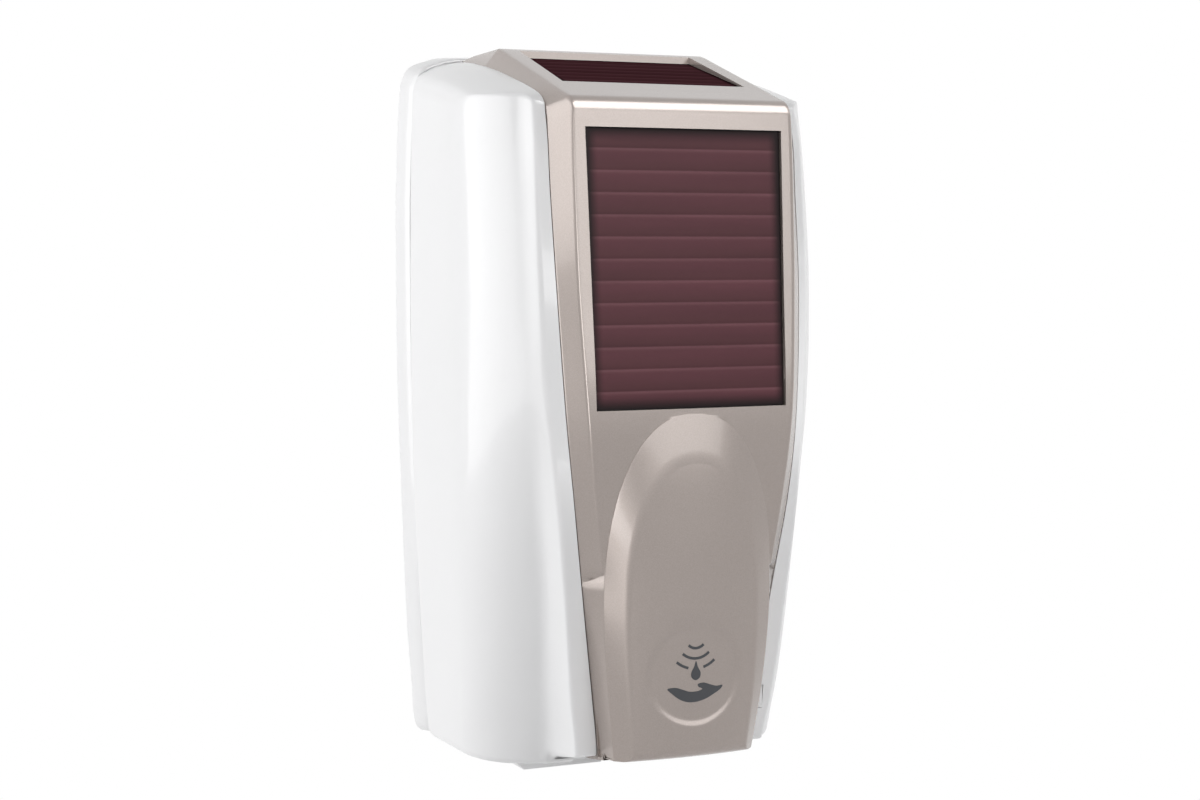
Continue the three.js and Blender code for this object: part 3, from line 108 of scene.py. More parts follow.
# The nose: half widths at its widest and at its foot, heights of its widest place and its tip,
# as shares of the part, for the outer oval on the plate and the inner one round its front
NOSE_OUTER = (0.469, 0.392, 0.254, 0.504)
NOSE_INNER = (0.348, 0.301, 0.217, 0.438)
NOSE_BEND = 2 / 2.3
NOSE_ROUND = 4.5
NOSE_CROWN = 0.45
NOSE_TO_SEAM = 82  # below this height its flank runs on as far as the seam
DISH_HEIGHT = 43.5
DISH_RADIUS = 20.2
DISH_RIM = 3.4
DISH_DEPTH = 0.8

# The windows: foot and top, by height and half width; back and front, by depth, half width and
# height, which is 2.6 and 0.6 below the slope
FRONT_WINDOW = ((0.512 * HEIGHT, 38.4), (0.879 * HEIGHT, 39.7))
TOP_WINDOW = ((41.8, 36.3, 272.4), (85.5, 37.5, 260.2))
FRAME_THICK = 1.2
CELL_THICK = 1.8


def place(x, depth, height):
    return (x * MM, -depth * MM, (height - HEIGHT / 2) * MM)


# ---- tables of the form

PLAN = np.array([
    [0.016, 0.882, 0.410, 0.856, 0.602, 0.562, 0.631, 0.534, 0.816, 0.411, 0.816],
    [0.054, 0.899, 0.426, 0.870, 0.611, 0.568, 0.664, 0.541, 0.828, 0.423, 0.829],
    [0.120, 0.916, 0.443, 0.901, 0.639, 0.603, 0.693, 0.581, 0.848, 0.463, 0.851],
    [0.254, 0.944, 0.459, 0.934, 0.672, 0.648, 0.752, 0.633, 0.875, 0.532, 0.875],
    [0.391, 0.966, 0.475, 0.949, 0.689, 0.716, 0.800, 0.686, 0.888, 0.604, 0.907],
    [0.504, 0.975, 0.492, 0.949, 0.697, 0.767, 0.831, 0.725, 0.871, 0.648, 0.909],
    [0.667, 0.978, 0.492, 0.959, 0.705, 0.792, 0.816, 0.755, 0.857, 0.679, 0.884],
    [0.797, 0.974, 0.475, 0.953, 0.684, 0.789, 0.789, 0.755, 0.833, 0.688, 0.848],
    [0.870, 0.970, 0.467, 0.945, 0.668, 0.784, 0.762, 0.753, 0.815, 0.689, 0.830],
    [0.913, 0.964, 0.459, 0.938, 0.656, 0.774, 0.746, 0.744, 0.791, 0.684, 0.802],
    [1.000, 0.959, 0.451, 0.932, 0.639, 0.760, 0.705, 0.733, 0.754, 0.678, 0.770],
])
FACE = np.array([
    [0.016, 0.885, 0.885], [0.120, 0.908, 0.914], [0.254, 0.930, 0.938], [0.391, 0.954, 0.962],
    [0.504, 0.967, 0.975], [0.667, 0.942, 0.949], [0.870, 0.909, 0.916], [1.000, 0.888, 0.895],
])
NOSE = np.array([
    [0.042, 0.907, 0.982], [0.120, 0.923, 0.994], [0.217, 0.934, 0.999], [0.290, 0.938, 0.999],
    [0.362, 0.952, 0.997], [0.438, 0.966, 0.991], [0.504, 0.969, 0.975],
])
WHITE_TOP = np.array([
    [-0.15, 0.9946], [0.107, 0.9917], [0.221, 0.9855], [0.393, 0.9721], [0.549, 0.9558], [0.697, 0.9384],
    [0.775, 0.9261], [0.807, 0.913], [0.828, 0.895], [0.838, 0.868], [0.85, 0.81], [1.15, 0.7],
])
CROWN = np.array([
    [0.0, 0.0], [0.41, 0.0007], [0.718, 0.0043], [0.822, 0.0105], [0.89, 0.0192], [0.94, 0.03],
    [0.956, 0.0446], [1.0, 0.0725], [1.3, 0.3],
])
PLATE_OUTLINE = np.array([
    [0.82, 0.0145], [0.877, 0.018], [0.911, 0.036], [0.923, 0.087], [0.94, 0.141], [0.956, 0.214],
    [0.975, 0.355], [0.997, 0.547], [1.0, 0.7], [1.0, 0.786], [0.986, 0.891], [0.973, 0.942],
    [0.964, 0.96], [0.921, 0.98], [0.822, 0.9908], [0.718, 0.9964], [0.41, 0.9989],
])

# The face panel's crest and top: depth and height at the bevel's inner edge, then at the seam
CREST_ROUND = 7.5
CREST_AT = (102.85, 247.35)
CREST_TURN = 72
CREST_STEPS = 10
CREST_FRONT = [[111.0, 238.0], [110.75, 242.0], [110.45, 246.0]]
CREST_BACK = [[97.0, 257.05]]
CREST_SEAM = [
    [101.4, 238.0], [101.1, 241.3], [100.6, 244.8], [99.6, 248.0], [97.9, 251.0], [94.8, 253.8],
    [90.4, 255.9], [84.0, 258.1], [69.4, 261.9], [54.8, 265.6], [41.8, 268.3], [38.0, 269.0],
    [13.0, 272.6], [-6.0, 273.0],
]
CREST_PLATE = [
    [85.5, 260.8], [70.0, 265.84], [55.0, 270.7], [41.8, 275.0], [38.0, 276.0], [13.0, 275.2], [-6.0, 275.1],
]


def table(rows, at):
    """Smooth values at any place between the rows of a table whose first column rises."""
    rows = np.asarray(rows, float)
    at = np.asarray(at, float)
    last = len(rows) - 1
    i = np.clip(np.searchsorted(rows[:, 0], at, side="right") - 1, 0, last - 1)
    before, start = rows[np.maximum(i - 1, 0)], rows[i]
    end, after = rows[i + 1], rows[np.minimum(i + 2, last)]
    span = (end[..., :1] - start[..., :1])
    t = np.clip((at[..., None] - start[..., :1]) / span, 0, 1)
    leave = span * (end - before) / (end[..., :1] - before[..., :1])
    arrive = span * (after - start) / (after[..., :1] - start[..., :1])
    change = end - start
    return (start + t * leave + t * t * (3 * change - 2 * leave - arrive)
            + t ** 3 * (leave + arrive - 2 * change))


def through(points, per_span):
    """A smooth curve through a list of points, with some steps on each span."""
    points = np.asarray(points, float)
    padded = np.vstack([2 * points[0] - points[1], points, 2 * points[-1] - points[-2]])
    curve = []
    for i in range(len(points) - 1):
        p0, p1, p2, p3 = padded[i:i + 4]
        for t in np.linspace(0, 1, per_span, endpoint=False):
            curve.append(0.5 * (2 * p1 + (p2 - p0) * t + (2 * p0 - 5 * p1 + 4 * p2 - p3) * t * t
                                + (3 * p1 - p0 - 3 * p2 + p3) * t ** 3))
    curve.append(points[-1])
    return np.array(curve)


def top_of_white(x, depth):
    fall = table(CROWN, np.abs(x) / HALF_WIDTH)[..., 1]
    return (table(WHITE_TOP, np.asarray(depth) / DEPTH)[..., 1] - fall) * HEIGHT


def plan(height):
    row = table(PLAN, np.asarray(height) / HEIGHT)
    return row[..., 1::2] * HALF_WIDTH, row[..., 2::2] * DEPTH


def depths(rows, height):
    """The first and the second depth in a table of heights, FACE or NOSE."""
    row = table(rows, np.asarray(height) / HEIGHT)
    return row[..., 1] * DEPTH, row[..., 2] * DEPTH


# ---- mesh helpers

def put(name, data):
    holder = bpy.data.objects.new(name, data)
    bpy.context.scene.collection.objects.link(holder)
    return holder


@contextmanager
def editing(mesh):
    shape = bmesh.new()
    shape.from_mesh(mesh)
    yield shape
    shape.to_mesh(mesh)
    shape.free()


def new_piece(name, points, faces, weld=WELD):
    mesh = bpy.data.meshes.new(name)
    mesh.from_pydata([tuple(p) for p in points], [], [tuple(f) for f in faces])
    with editing(mesh) as shape:
        bmesh.ops.remove_doubles(shape, verts=shape.verts, dist=weld)
        bmesh.ops.dissolve_degenerate(shape, edges=shape.edges, dist=weld)
        bmesh.ops.recalc_face_normals(shape, faces=shape.faces)
    return put(name, mesh)


def loft(name, rings, lid=None, weld=WELD):
    """A closed body through rings of [x, depth, height] points. Its first end is a fan, and so
    is its last one unless a lid is given: rows of points whose edge is the last ring."""
    rings = [np.asarray(ring, float) for ring in rings]
    count = len(rings[0])
    points = [place(*p) for ring in rings for p in ring]
    faces = []
    for low in range(0, (len(rings) - 1) * count, count):
        for i in range(count):
            j = (i + 1) % count
            faces.append((low + i, low + j, low + count + j, low + count + i))
    start = (len(rings) - 1) * count
    foot = len(points)
    points.append(place(*rings[0].mean(axis=0)))
    faces += [(foot, (i + 1) % count, i) for i in range(count)]
    if lid is None:
        top = len(points)
        points.append(place(*rings[-1].mean(axis=0)))
        faces += [(top, start + i, start + (i + 1) % count) for i in range(count)]
    else:
        rows, columns = lid.shape[:2]
        base = len(points)
        points += [place(*p) for row in lid for p in row]
        for i in range(rows - 1):
            for j in range(columns - 1):
                low = base + i * columns + j
                faces.append((low, low + 1, low + columns + 1, low + columns))
    return new_piece(name, points, faces, weld)


def block(xs, ds, zs):
    """A box between two values each of x, depth and height."""
    ring = [(xs[0], ds[0]), (xs[1], ds[0]), (xs[1], ds[1]), (xs[0], ds[1])]
    return loft("block", [[(x, d, z) for x, d in ring] for z in zs])


def foot_room(half, front, top):
    return block((-half, half), (0, front), (BEYOND, top))


def evaluated(piece):
    """The piece with its modifiers applied, as one plain mesh."""
    graph = bpy.context.evaluated_depsgraph_get()
    mesh = bpy.data.meshes.new_from_object(piece.evaluated_get(graph))
    piece.modifiers.clear()
    old = piece.data
    piece.data = mesh
    mesh.name = piece.name
    bpy.data.meshes.remove(old)
    return piece


def combine(piece, others, operation):
    """Joins, cuts or intersects with each of the others, which are used up."""
    kinds = [operation] * len(others) if isinstance(operation, str) else operation
    for other, kind in zip(others, kinds):
        step = piece.modifiers.new("step", "BOOLEAN")
        step.operation = kind
        step.solver = "MANIFOLD"
        step.object = other
        bpy.context.view_layer.update()
        evaluated(piece)
        bpy.data.objects.remove(other)
    return piece


def copy_of(piece, name):
    return put(name, piece.data.copy())


def solid_of(node):
    """A welded copy of a CAD node's mesh."""
    twin = copy_of(nodes[node], node + "_copy")
    with editing(twin.data) as shape:
        bmesh.ops.remove_doubles(shape, verts=shape.verts, dist=WELD)
    return twin


def pressed(piece, by):
    """A copy of a closed body with every point moved inward, but in a sharp corner not far."""
    corner_reach = 1.6
    twin = copy_of(piece, "pressed")
    with editing(twin.data) as shape:
        shape.normal_update()
        for point in shape.verts:
            point.co -= point.normal * by * MM * min(point.calc_shell_factor(), corner_reach)
    return twin


def skin_of(piece, thickness=SKIN):
    """The outer wall of a closed body: the body with a turned-in copy as its hollow."""
    hollow = pressed(piece, thickness)
    hollow.data.flip_normals()
    return joined(piece, [hollow])


def joined(piece, others):
    """One mesh of several closed bodies."""
    with editing(piece.data) as shape:
        for other in others:
            shape.from_mesh(other.data)
            bpy.data.objects.remove(other)
    return piece


def smooth(piece, angle):
    mesh = piece.data
    mesh.polygons.foreach_set("use_smooth", [True] * len(mesh.polygons))
    mesh.set_sharp_from_angle(angle=math.radians(angle))
    mesh.update()
    return piece


def smooth_by_area(piece, angle):
    """Smooth shading in which a sliver beside a cut has no say."""
    smooth(piece, angle)
    step = piece.modifiers.new("shading", "WEIGHTED_NORMAL")
    step.mode = "FACE_AREA"
    step.keep_sharp = True
    return evaluated(piece)


# ---- white cover

SIDE_POINTS = 3
CORNER_STEPS = 22
CORNER_CUT = 3  # points of the corner that the hollow beside the spine takes over
CREASE_ROUND = 1.6


def bezier(a, b, c, steps):
    t = np.linspace(0, 1, steps + 1)[:, None]
    return (1 - t) ** 2 * a + 2 * t * (1 - t) * b + t * t * c


def white_half(height, distance):
    """Half a plan of the white cover, from the back round the corner to the middle."""
    side, bend, valley, crease, seam = [np.array([x, d]) for x, d in zip(*plan(height))]
    corner = bezier(side, bend, valley, CORNER_STEPS)
    toward = crease - valley
    strip = seam - crease
    hollow = bezier(corner[-CORNER_CUT], valley, valley + 0.4 * toward, 5)
    round_in = crease - toward * min(0.35, CREASE_ROUND / np.linalg.norm(toward))
    round_out = crease + strip * min(0.35, CREASE_ROUND / np.linalg.norm(strip))
    points = np.vstack([
        [[side[0], BEYOND], side * [1, 0.3], side * [1, 0.7]], corner[:-CORNER_CUT], hollow,
        bezier(round_in, crease, round_out, 5), [seam, seam * [0.6, 1], seam * [0.2, 1]],
    ])
    return inset(points, distance) if distance else points


def inset(points, distance):
    """Moves a half outline inward; its last points run across to the other half."""
    before = np.vstack([points[:1] - [0, 1], points[:-1]])
    after = np.vstack([points[1:], points[-1:] - [1, 0]])
    normals = []
    for way in (points - before, after - points):
        way /= np.maximum(np.linalg.norm(way, axis=1, keepdims=True), 1e-9)
        normals.append(np.stack([-way[:, 1], way[:, 0]], 1))
    first, second = normals
    share = distance / np.maximum(1 + (first * second).sum(1, keepdims=True), 0.3)
    return points + (first + second) * share


def both(half):
    return np.vstack([half, half[::-1] * [-1, 1]])


def white_form(distance=0.0):
    """The cover's whole outer body, moved inward by a distance, as one closed mesh."""
    foot = COVER_FOOT + distance
    spine = SPINE_FOOT + distance
    levels = np.concatenate([np.linspace(foot, 26, 16), np.linspace(30, 282, 66)])
    outlines = np.array([both(white_half(z, distance)) for z in levels])
    count = outlines.shape[1]
    half = count // 2
    first_inner = SIDE_POINTS + CORNER_STEPS + 1 - CORNER_CUT + 2

    # Each column rises to where it meets the crowned top
    top = np.zeros(count)
    for k in range(count):
        x, d = outlines[:, k, 0], outlines[:, k, 1]
        over = levels - (top_of_white(x, d + distance) - distance)
        hit = np.argmax(over > 0)
        share = over[hit - 1] / (over[hit - 1] - over[hit])
        top[k] = levels[hit - 1] + share * (levels[hit] - levels[hit - 1])

    def columns_at(heights):
        return np.array([[np.interp(z, levels, outlines[:, k, 0]), np.interp(z, levels, outlines[:, k, 1]), z]
                         for k, z in enumerate(heights)])

    def level_at(z):
        return columns_at(np.full(count, z))

    def folded(ring, share):
        """Draws the raised spine back to the valley's line under its foot."""
        out = ring.copy()
        valley = ring[first_inner]
        for k in range(first_inner, half):
            for index in (k, count - 1 - k):
                out[index, 1] = valley[1] + share * (ring[index, 1] - valley[1])
        return out

    def pulled(ring, by):
        middle = np.array([0, 50.0])
        away = ring[:, :2] - middle
        length = np.linalg.norm(away, axis=1, keepdims=True)
        out = ring.copy()
        out[:, :2] = middle + away * (1 - by / length)
        return out

    # The round at the foot, then the slope up to the spine's foot, then the sides
    rings = []
    foot_round = FOOT_ROUND if distance == 0 else 0.01
    for angle in np.linspace(0, math.pi / 2, 5):
        ring = level_at(foot + foot_round * (1 - math.sin(angle)))
        rings.insert(0, folded(pulled(ring, foot_round * (1 - math.cos(angle))), 0))
    for step, share in ((0.3, 0.12), (0.55, 0.45), (0.8, 0.75), (0.93, 0.89), (1.0, 0.94), (1.05, 0.965),
                        (1.12, 0.985)):
        rings.append(folded(level_at(foot + foot_round + step * (spine - foot - foot_round)), share))
    start = spine + 1.4
    rings.append(level_at(start))
    for share in 1 - (1 - np.linspace(0, 1, 60)[1:]) ** 1.15:
        rings.append(columns_at(start + share * (top - start)))

    middle = np.array([0, 48.0])
    edge = rings[-1]
    for share in (0.994, 0.985, 0.972, 0.955, 0.93, 0.9, 0.86, 0.8, 0.7, 0.55, 0.35, 0.12):
        ring = edge.copy()
        ring[:, :2] = middle + (edge[:, :2] - middle) * share
        ring[:, 2] = top_of_white(ring[:, 0], ring[:, 1] + distance) - distance
        ring[:, 2] = np.minimum(ring[:, 2], np.maximum(edge[:, 2], ring[:, 2]))
        rings.append(ring)
    return loft("white_form", rings)


def seam_column(margin, foot):
    """Everything between the seams, moved outward by a margin, from a foot up."""
    rings = []
    for z in np.linspace(foot, 300, 60):
        x = plan(min(z, HEIGHT))[0][4] + margin
        rings.append([(x, -FAR, z), (x, FAR, z), (-x, FAR, z), (-x, -FAR, z)])
    return loft("seam_column", rings)


def behind_cover(more=0.0):
    return block((-FAR, FAR), (-FAR, COVER_BACK + more), (-FAR, FAR))


def cylinder_across(radius, depth, height, x0, x1):
    ring = [(depth + radius * math.cos(a), height + radius * math.sin(a))
            for a in np.linspace(0, 2 * math.pi, 48, endpoint=False)]
    return loft("cylinder", [[(x, d, z) for d, z in ring] for x in (x0, x1)])


def clip_hole():
    """The hole for the clip in the strip beside the right seam, open to the front."""
    xs, ds = plan(CLIP_HEIGHT)
    left = xs[4] + 0.9
    width, height = CLIP_SIZE
    return block((left - GAP, left + width + GAP), (ds[3] - 1.6 - GAP, ds[3] - BEYOND),
                 (CLIP_HEIGHT - height / 2 - GAP, CLIP_HEIGHT + height / 2 + GAP))


def make_cover():
    skin = white_form()
    foot_back = combine(block((-FAR, FAR), (0, HINGE_AT[0]), (BEYOND, HINGE_AT[1])),
                        [cylinder_across(HINGE_CLEAR, *HINGE_AT, -FAR / 2, FAR / 2)], "DIFFERENCE")
    combine(skin, [
        white_form(SKIN),
        behind_cover(),
        seam_column(GAP, SPINE_FOOT - GAP),
        block((-CHIN[1] - GAP, CHIN[1] + GAP), (76, FAR), (BEYOND, SPINE_FOOT)),
        foot_room(*LEDGE_ROOM),
        foot_room(*HINGE_ROOM),
        foot_room(*NOZZLE_ROOM),
        foot_back,
        clip_hole(),
    ], "DIFFERENCE")
    core = combine(solid_of("cover_shell"), [white_form(CORE_INSET)], "INTERSECT")
    combine(core, [behind_cover(CORE_BACK), seam_column(GAP + 0.05, SPINE_FOOT - GAP)], "DIFFERENCE")
    joined(skin, [core])
    skin.name = "cover"
    return smooth(skin, 32)


# ---- pearl face panel

PANEL_MIDDLE = np.array([50.0, 130.0])  # depth and height, toward which its rim turns in
FLANGE = 3.9


def panel_profiles():
    """Rows round the panel's side view: at the bevel's inner edge, the seam and the middle."""
    heights = np.concatenate([[SPINE_FOOT, SPINE_FOOT + 0.3, SPINE_FOOT + 1.0], np.linspace(14.5, 236, 110)])
    shrink = np.zeros(len(heights))
    shrink[:2] = 1.0, 0.35
    xs, ds = plan(heights)
    edge, centre = depths(FACE, heights)
    # Below the plate's end, beside the nose, the strip lies flatter
    low = np.clip((NOSE_TO_SEAM - 0.5 - heights) / 1.2, 0, 1)
    edge = edge - low * 0.5 * (edge - ds[:, 4])
    front = np.stack([edge - shrink, heights, ds[:, 4] - shrink, heights, xs[:, 4] - BEVEL, xs[:, 4],
                      centre - shrink], 1)
    crest = [[CREST_AT[0] + CREST_ROUND * math.cos(turn), CREST_AT[1] + CREST_ROUND * math.sin(turn)]
             for turn in np.linspace(0, math.radians(CREST_TURN), CREST_STEPS)]
    slope_start = len(CREST_FRONT + crest + CREST_BACK)
    plate = np.array(CREST_FRONT + crest + CREST_BACK + CREST_PLATE)
    seam_curve = through(CREST_SEAM, 12)

    def travel(points):
        return np.concatenate([[0], np.cumsum(np.linalg.norm(np.diff(points, axis=0), axis=1))])

    # A plate point meets the seam point at the same share of the way, or squarely over the slope
    plate_way, seam_way = travel(plate), travel(seam_curve)
    on_slope = np.interp(-plate[:, 0], -seam_curve[:, 0], seam_way)
    on_crest = plate_way / plate_way[slope_start] * on_slope[slope_start]
    way = np.where(np.arange(len(plate)) < slope_start, on_crest, on_slope)
    seam_points = np.stack([np.interp(way, seam_way, seam_curve[:, k]) for k in (0, 1)], 1)
    seam_x = plan(np.minimum(seam_points[:, 1], HEIGHT))[0][:, 4]
    lean = np.clip((plate[:, 0] - 86) / 24, 0, 1)
    top = np.stack([plate[:, 0], plate[:, 1], seam_points[:, 0], seam_points[:, 1], seam_x - BEVEL, seam_x,
                    plate[:, 0] + 0.85 * lean], 1)
    foot = [[d, z, d, z, *CHIN, d] for d, z in (
        (BEYOND, SPINE_FOOT), (77.5, SPINE_FOOT), (79, 9.6), (81, 8.2), (92, 8.8), (100, 9.9), (105, 10.7))]
    return np.vstack([foot, front, top])


def turned_in(seam, by):
    """Seam points of depth and height, moved toward the panel's middle."""
    toward = PANEL_MIDDLE - seam
    return seam + toward / np.linalg.norm(toward, axis=1, keepdims=True) * by


def panel_body():
    rows = panel_profiles()
    depth, height, seam_depth, seam_height, edge_x, seam_x, centre = rows.T

    def rim(deep):
        return np.column_stack([seam_x, turned_in(rows[:, 2:4], deep)])

    def on_bevel(share, lift=0.0):
        x = seam_x + (edge_x - seam_x) * share
        d = seam_depth + (depth - seam_depth) * share
        z = seam_height + (height - seam_height) * share
        return np.stack([x, d - lift * 0.5, z - lift * 0.5], 1)

    def across(share):
        return np.stack([edge_x * (1 - share), depth + (centre - depth) * (1 - (1 - share) ** 2), height], 1)

    half = [rim(4.0), rim(0.5), *[on_bevel(share) for share in (0.0, 0.06, 0.5, 0.86)], on_bevel(0.96, 0.05),
            *[across(share) for share in (0.008, 0.034, 0.1, 0.3, 0.5, 0.75, 1.0)]]
    mirror = [ring * [-1, 1, 1] for ring in half[-2::-1]]
    return loft("panel_body", half + mirror)


def panel_inside():
    """What lies deeper than the panel's flange: no wall of its shell runs on in here."""
    rows = panel_profiles()
    moved = turned_in(rows[:, 2:4], FLANGE)
    return loft("panel_inside", [np.column_stack([side * (rows[:, 5] + 3), moved]) for side in (1, -1)])


def nose_outline(share, foot):
    """The right half of the nose's outline from in front, at a share from the outer oval to the inner."""
    outer, inner = np.array(NOSE_OUTER), np.array(NOSE_INNER)
    full, narrow, widest, apex = (outer + (inner - outer) * share) * (HALF_WIDTH, HALF_WIDTH, HEIGHT, HEIGHT)
    low_z = np.linspace(foot, widest, 84, endpoint=False)
    low_x = full + (narrow - full) * np.clip(1 - (low_z - SPINE_FOOT) / (widest - SPINE_FOOT), 0, 1) ** 1.6
    angle = np.linspace(0, math.pi / 2, 41)
    arch_x = full * np.cos(angle).clip(0) ** NOSE_BEND
    arch_x[-1] = 0
    arch_z = widest + (apex - widest) * np.sin(angle) ** NOSE_BEND
    return np.concatenate([low_x, arch_x]), np.concatenate([low_z, arch_z])


def nose_front(x, z):
    """The crowned front of the nose, with its shallow dish."""
    edge, ahead = depths(NOSE, z)
    dish = np.clip((DISH_RADIUS - np.hypot(x, z - DISH_HEIGHT)) / DISH_RIM, 0, 1)
    crown = NOSE_CROWN * (ahead - edge) * (x / (NOSE_INNER[0] * HALF_WIDTH)) ** 2
    return ahead - crown - DISH_DEPTH * dish * dish * (3 - 2 * dish)


def nose_body():
    """The oval nose: loops of its front view over the flank, then rows across its front."""
    base_steps = 96
    spread = 1 - 2 * np.arange(base_steps + 1) / base_steps

    def start_depth(x, z):
        """Just under the plate's surface, so that the flank leaves it with a small crisp step."""
        edge, centre = depths(FACE, z)
        half = plan(z)[0][..., 4] - BEVEL
        plate = edge + (centre - edge) * (1 - np.clip(x / half, 0, 1) ** 2)
        nose = depths(NOSE, z)[0]
        return np.where(z > NOSE_TO_SEAM, np.maximum(nose, plate + 0.1), nose)

    def foot_at(rise):
        """The height of the rounded foot, which curves up toward the nose's front."""
        edge, ahead = depths(NOSE, SPINE_FOOT + 2)
        short = min(max((edge + (ahead - edge) * rise - (ahead - NOSE_ROUND)) / NOSE_ROUND, 0), 1)
        return SPINE_FOOT + NOSE_ROUND * (1 - math.sqrt(1 - short ** 2))

    def ring(share, rise):
        foot = foot_at(rise)
        x, z = nose_outline(share, foot)
        outer_x, outer_z = nose_outline(0, foot)
        inner_x, inner_z = nose_outline(1, foot)
        start, end = start_depth(outer_x, outer_z), nose_front(inner_x, inner_z)
        depth = start + (end - start) * rise
        base = start[0] + (nose_front(inner_x[0] * spread, np.full(base_steps + 1, foot)) - start[0]) * rise
        side = np.stack([x, depth, z], 1)
        under = np.stack([x[0] * spread, base, np.full(base_steps + 1, foot)], 1)[1:-1][::-1]
        return np.vstack([side, (side[::-1] * [-1, 1, 1])[1:], under])

    # Beside its lower half the nose falls away in one slope as far as the seam
    first = ring(0, 0)
    seam_x, seam_depth = (rows[..., 4] for rows in plan(first[:, 2]))
    behind = 82
    low = np.clip((NOSE_TO_SEAM - first[:, 2]) / 1.6, 0, 1)
    sideways = np.clip(np.abs(first[:, 0]) / np.abs(first[0, 0]), 0, 1) * np.sign(first[:, 0])
    first[:, 0] += low * (sideways * (seam_x - 0.15) - first[:, 0])
    first[:, 1] = behind + low * (seam_depth + 0.1 - behind)
    rings = [first, ring(0, 0), ring(0.004, 0.03)]
    turn_from, turn_span = 0.68, 0.32  # where the flank turns over into the front
    for share in (0.03, 0.12, 0.25, 0.4, 0.55, 0.68, 0.72, 0.76, 0.8, 0.84, 0.88, 0.92, 0.96, 1.0):
        turned = max(share - turn_from, 0) / turn_span
        rings.append(ring(share, 0.03 + 0.97 * (1.143 * share - 0.143 * turned ** 2)))
    x, z = nose_outline(1, foot_at(1))
    grid_x = x[:, None] * spread[None]
    grid_z = np.repeat(z[:, None], base_steps + 1, 1)
    lid = np.stack([grid_x, nose_front(grid_x, grid_z), grid_z], 2)
    lid[-1] = rings[-1][len(x) - 1]
    return loft("nose_body", rings, lid, weld=3e-6)


def slab(name, ends, thickness):
    """A slab between two ends of (half width, depth, height), thick in depth or in height."""
    rings = []
    for half, depth, height in ends:
        under = np.array([half, depth, height]) - thickness
        rings.append([(half, depth, height), (half, *under[1:]), (-half, *under[1:]), (-half, depth, height)])
    return loft(name, rings)


def front_window(margin, behind, thickness):
    """A slab along the front light panel, so far behind the plate."""
    ends = []
    for (height, half), way in zip(FRONT_WINDOW, (-1, 1)):
        height += way * margin
        ends.append((half + margin, depths(FACE, height)[0] - behind, height))
    return slab("front_slab", ends, (0, thickness, 0))


def top_window(margin, below, thickness):
    """A slab along the top light panel, so far below it."""
    (start, _, back), (end, _, front) = TOP_WINDOW
    slope = (front - back) / (end - start)
    ends = []
    for (depth, half, _), way in zip(TOP_WINDOW, (-1, 1)):
        depth += way * margin
        ends.append((half + margin, depth, back + slope * (depth - start) - below))
    return slab("top_slab", ends, (0, 0, thickness))


def make_face():
    outer = combine(panel_body(), [nose_body()], "UNION")
    core = combine(solid_of("face_panel"), [pressed(outer, CORE_INSET)], "INTERSECT")
    combine(core, [behind_cover(CORE_BACK)], "DIFFERENCE")
    skin = skin_of(outer, PANEL_SKIN)
    combine(skin, [
        combine(white_form(POCKET - GAP), [seam_column(-2, BEYOND)], "DIFFERENCE"),
        behind_cover(),
        panel_inside(),
        block((-FAR, FAR), (BEYOND, 74), (BEYOND, 60)),
        foot_room(*NOZZLE_ROOM),
        front_window(GAP, BEYOND, FRAME_THICK + CELL_THICK + GAP - BEYOND),
        top_window(GAP, BEYOND, CELL_THICK + GAP - BEYOND),
    ], "DIFFERENCE")
    joined(skin, [core])
    skin.name = "panel"
    return smooth_by_area(skin, 26)


def prism(outline, depth0, depth1):
    """A flat outline of [x, height] points, drawn out over a span of depth."""
    count = len(outline)
    points = [place(x, d, z) for d in (depth0, depth1) for x, z in outline]
    faces = [tuple(range(count)), tuple(range(2 * count - 1, count - 1, -1))]
    faces += [(i, (i + 1) % count, count + (i + 1) % count, count + i) for i in range(count)]
    return new_piece("prism", points, faces)


# ---- sign of use

WAVE_MIDDLE = 57.4
WAVE_WIDTH = 1.0
WAVES = ((4.4, -44, 44), (8.2, -41, 41), (12.0, -40, -15), (12.0, 15, 40))  # radius, then degrees
DROP = [(0, 48.2), (0.8, 46.0), (1.9, 43.9), (1.6, 42.0), (0, 41.1), (-1.6, 42.0), (-1.9, 43.9), (-0.8, 46.0)]
HAND = [
    (-11.2, 38.4), (-8.2, 38.8), (-5.2, 37.9), (-2.6, 37.0), (0.6, 36.9), (2.8, 37.6), (1.2, 38.5),
    (1.0, 39.6), (3.4, 39.9), (6.4, 38.9), (9.0, 38.2), (11.4, 38.3), (10.6, 36.9), (7.4, 35.2),
    (4.2, 33.8), (0.6, 33.0), (-3.2, 33.1), (-6.4, 34.3), (-9.0, 36.2),
]
SIGN_HEIGHT = 0.14
SIGN_SINK = 0.5
SIGN_SPAN = 116, 126  # depths behind and ahead of the dish


def arc_outline(radius, turn0, turn1):
    turns = np.radians(np.linspace(turn0, turn1, 20))
    outer, inner = ([(r * math.sin(a), WAVE_MIDDLE - r * math.cos(a)) for a in turns]
                    for r in (radius + WAVE_WIDTH / 2, radius - WAVE_WIDTH / 2))
    return outer + inner[::-1]


def closed_curve(points):
    steps = 6
    padded = [points[-1], *points, points[0], points[1]]
    return [tuple(p) for p in through(padded, steps)[steps:-steps - 1]]


def make_mark():
    """A plain sign of use on the dish: waves, a drop and an open hand, raised by a hair."""
    outlines = [arc_outline(*wave) for wave in WAVES] + [closed_curve(DROP), closed_curve(HAND)]
    pieces = [prism(outline, *SIGN_SPAN) for outline in outlines]
    mark = joined(pieces[0], pieces[1:])
    nose = nose_body()
    combine(mark, [pressed(nose, -SIGN_HEIGHT), pressed(nose, SIGN_SINK)], ("INTERSECT", "DIFFERENCE"))
    bpy.data.objects.remove(nose)
    mark.name = "use_mark"
    return smooth(mark, 40)


# ---- inner pieces

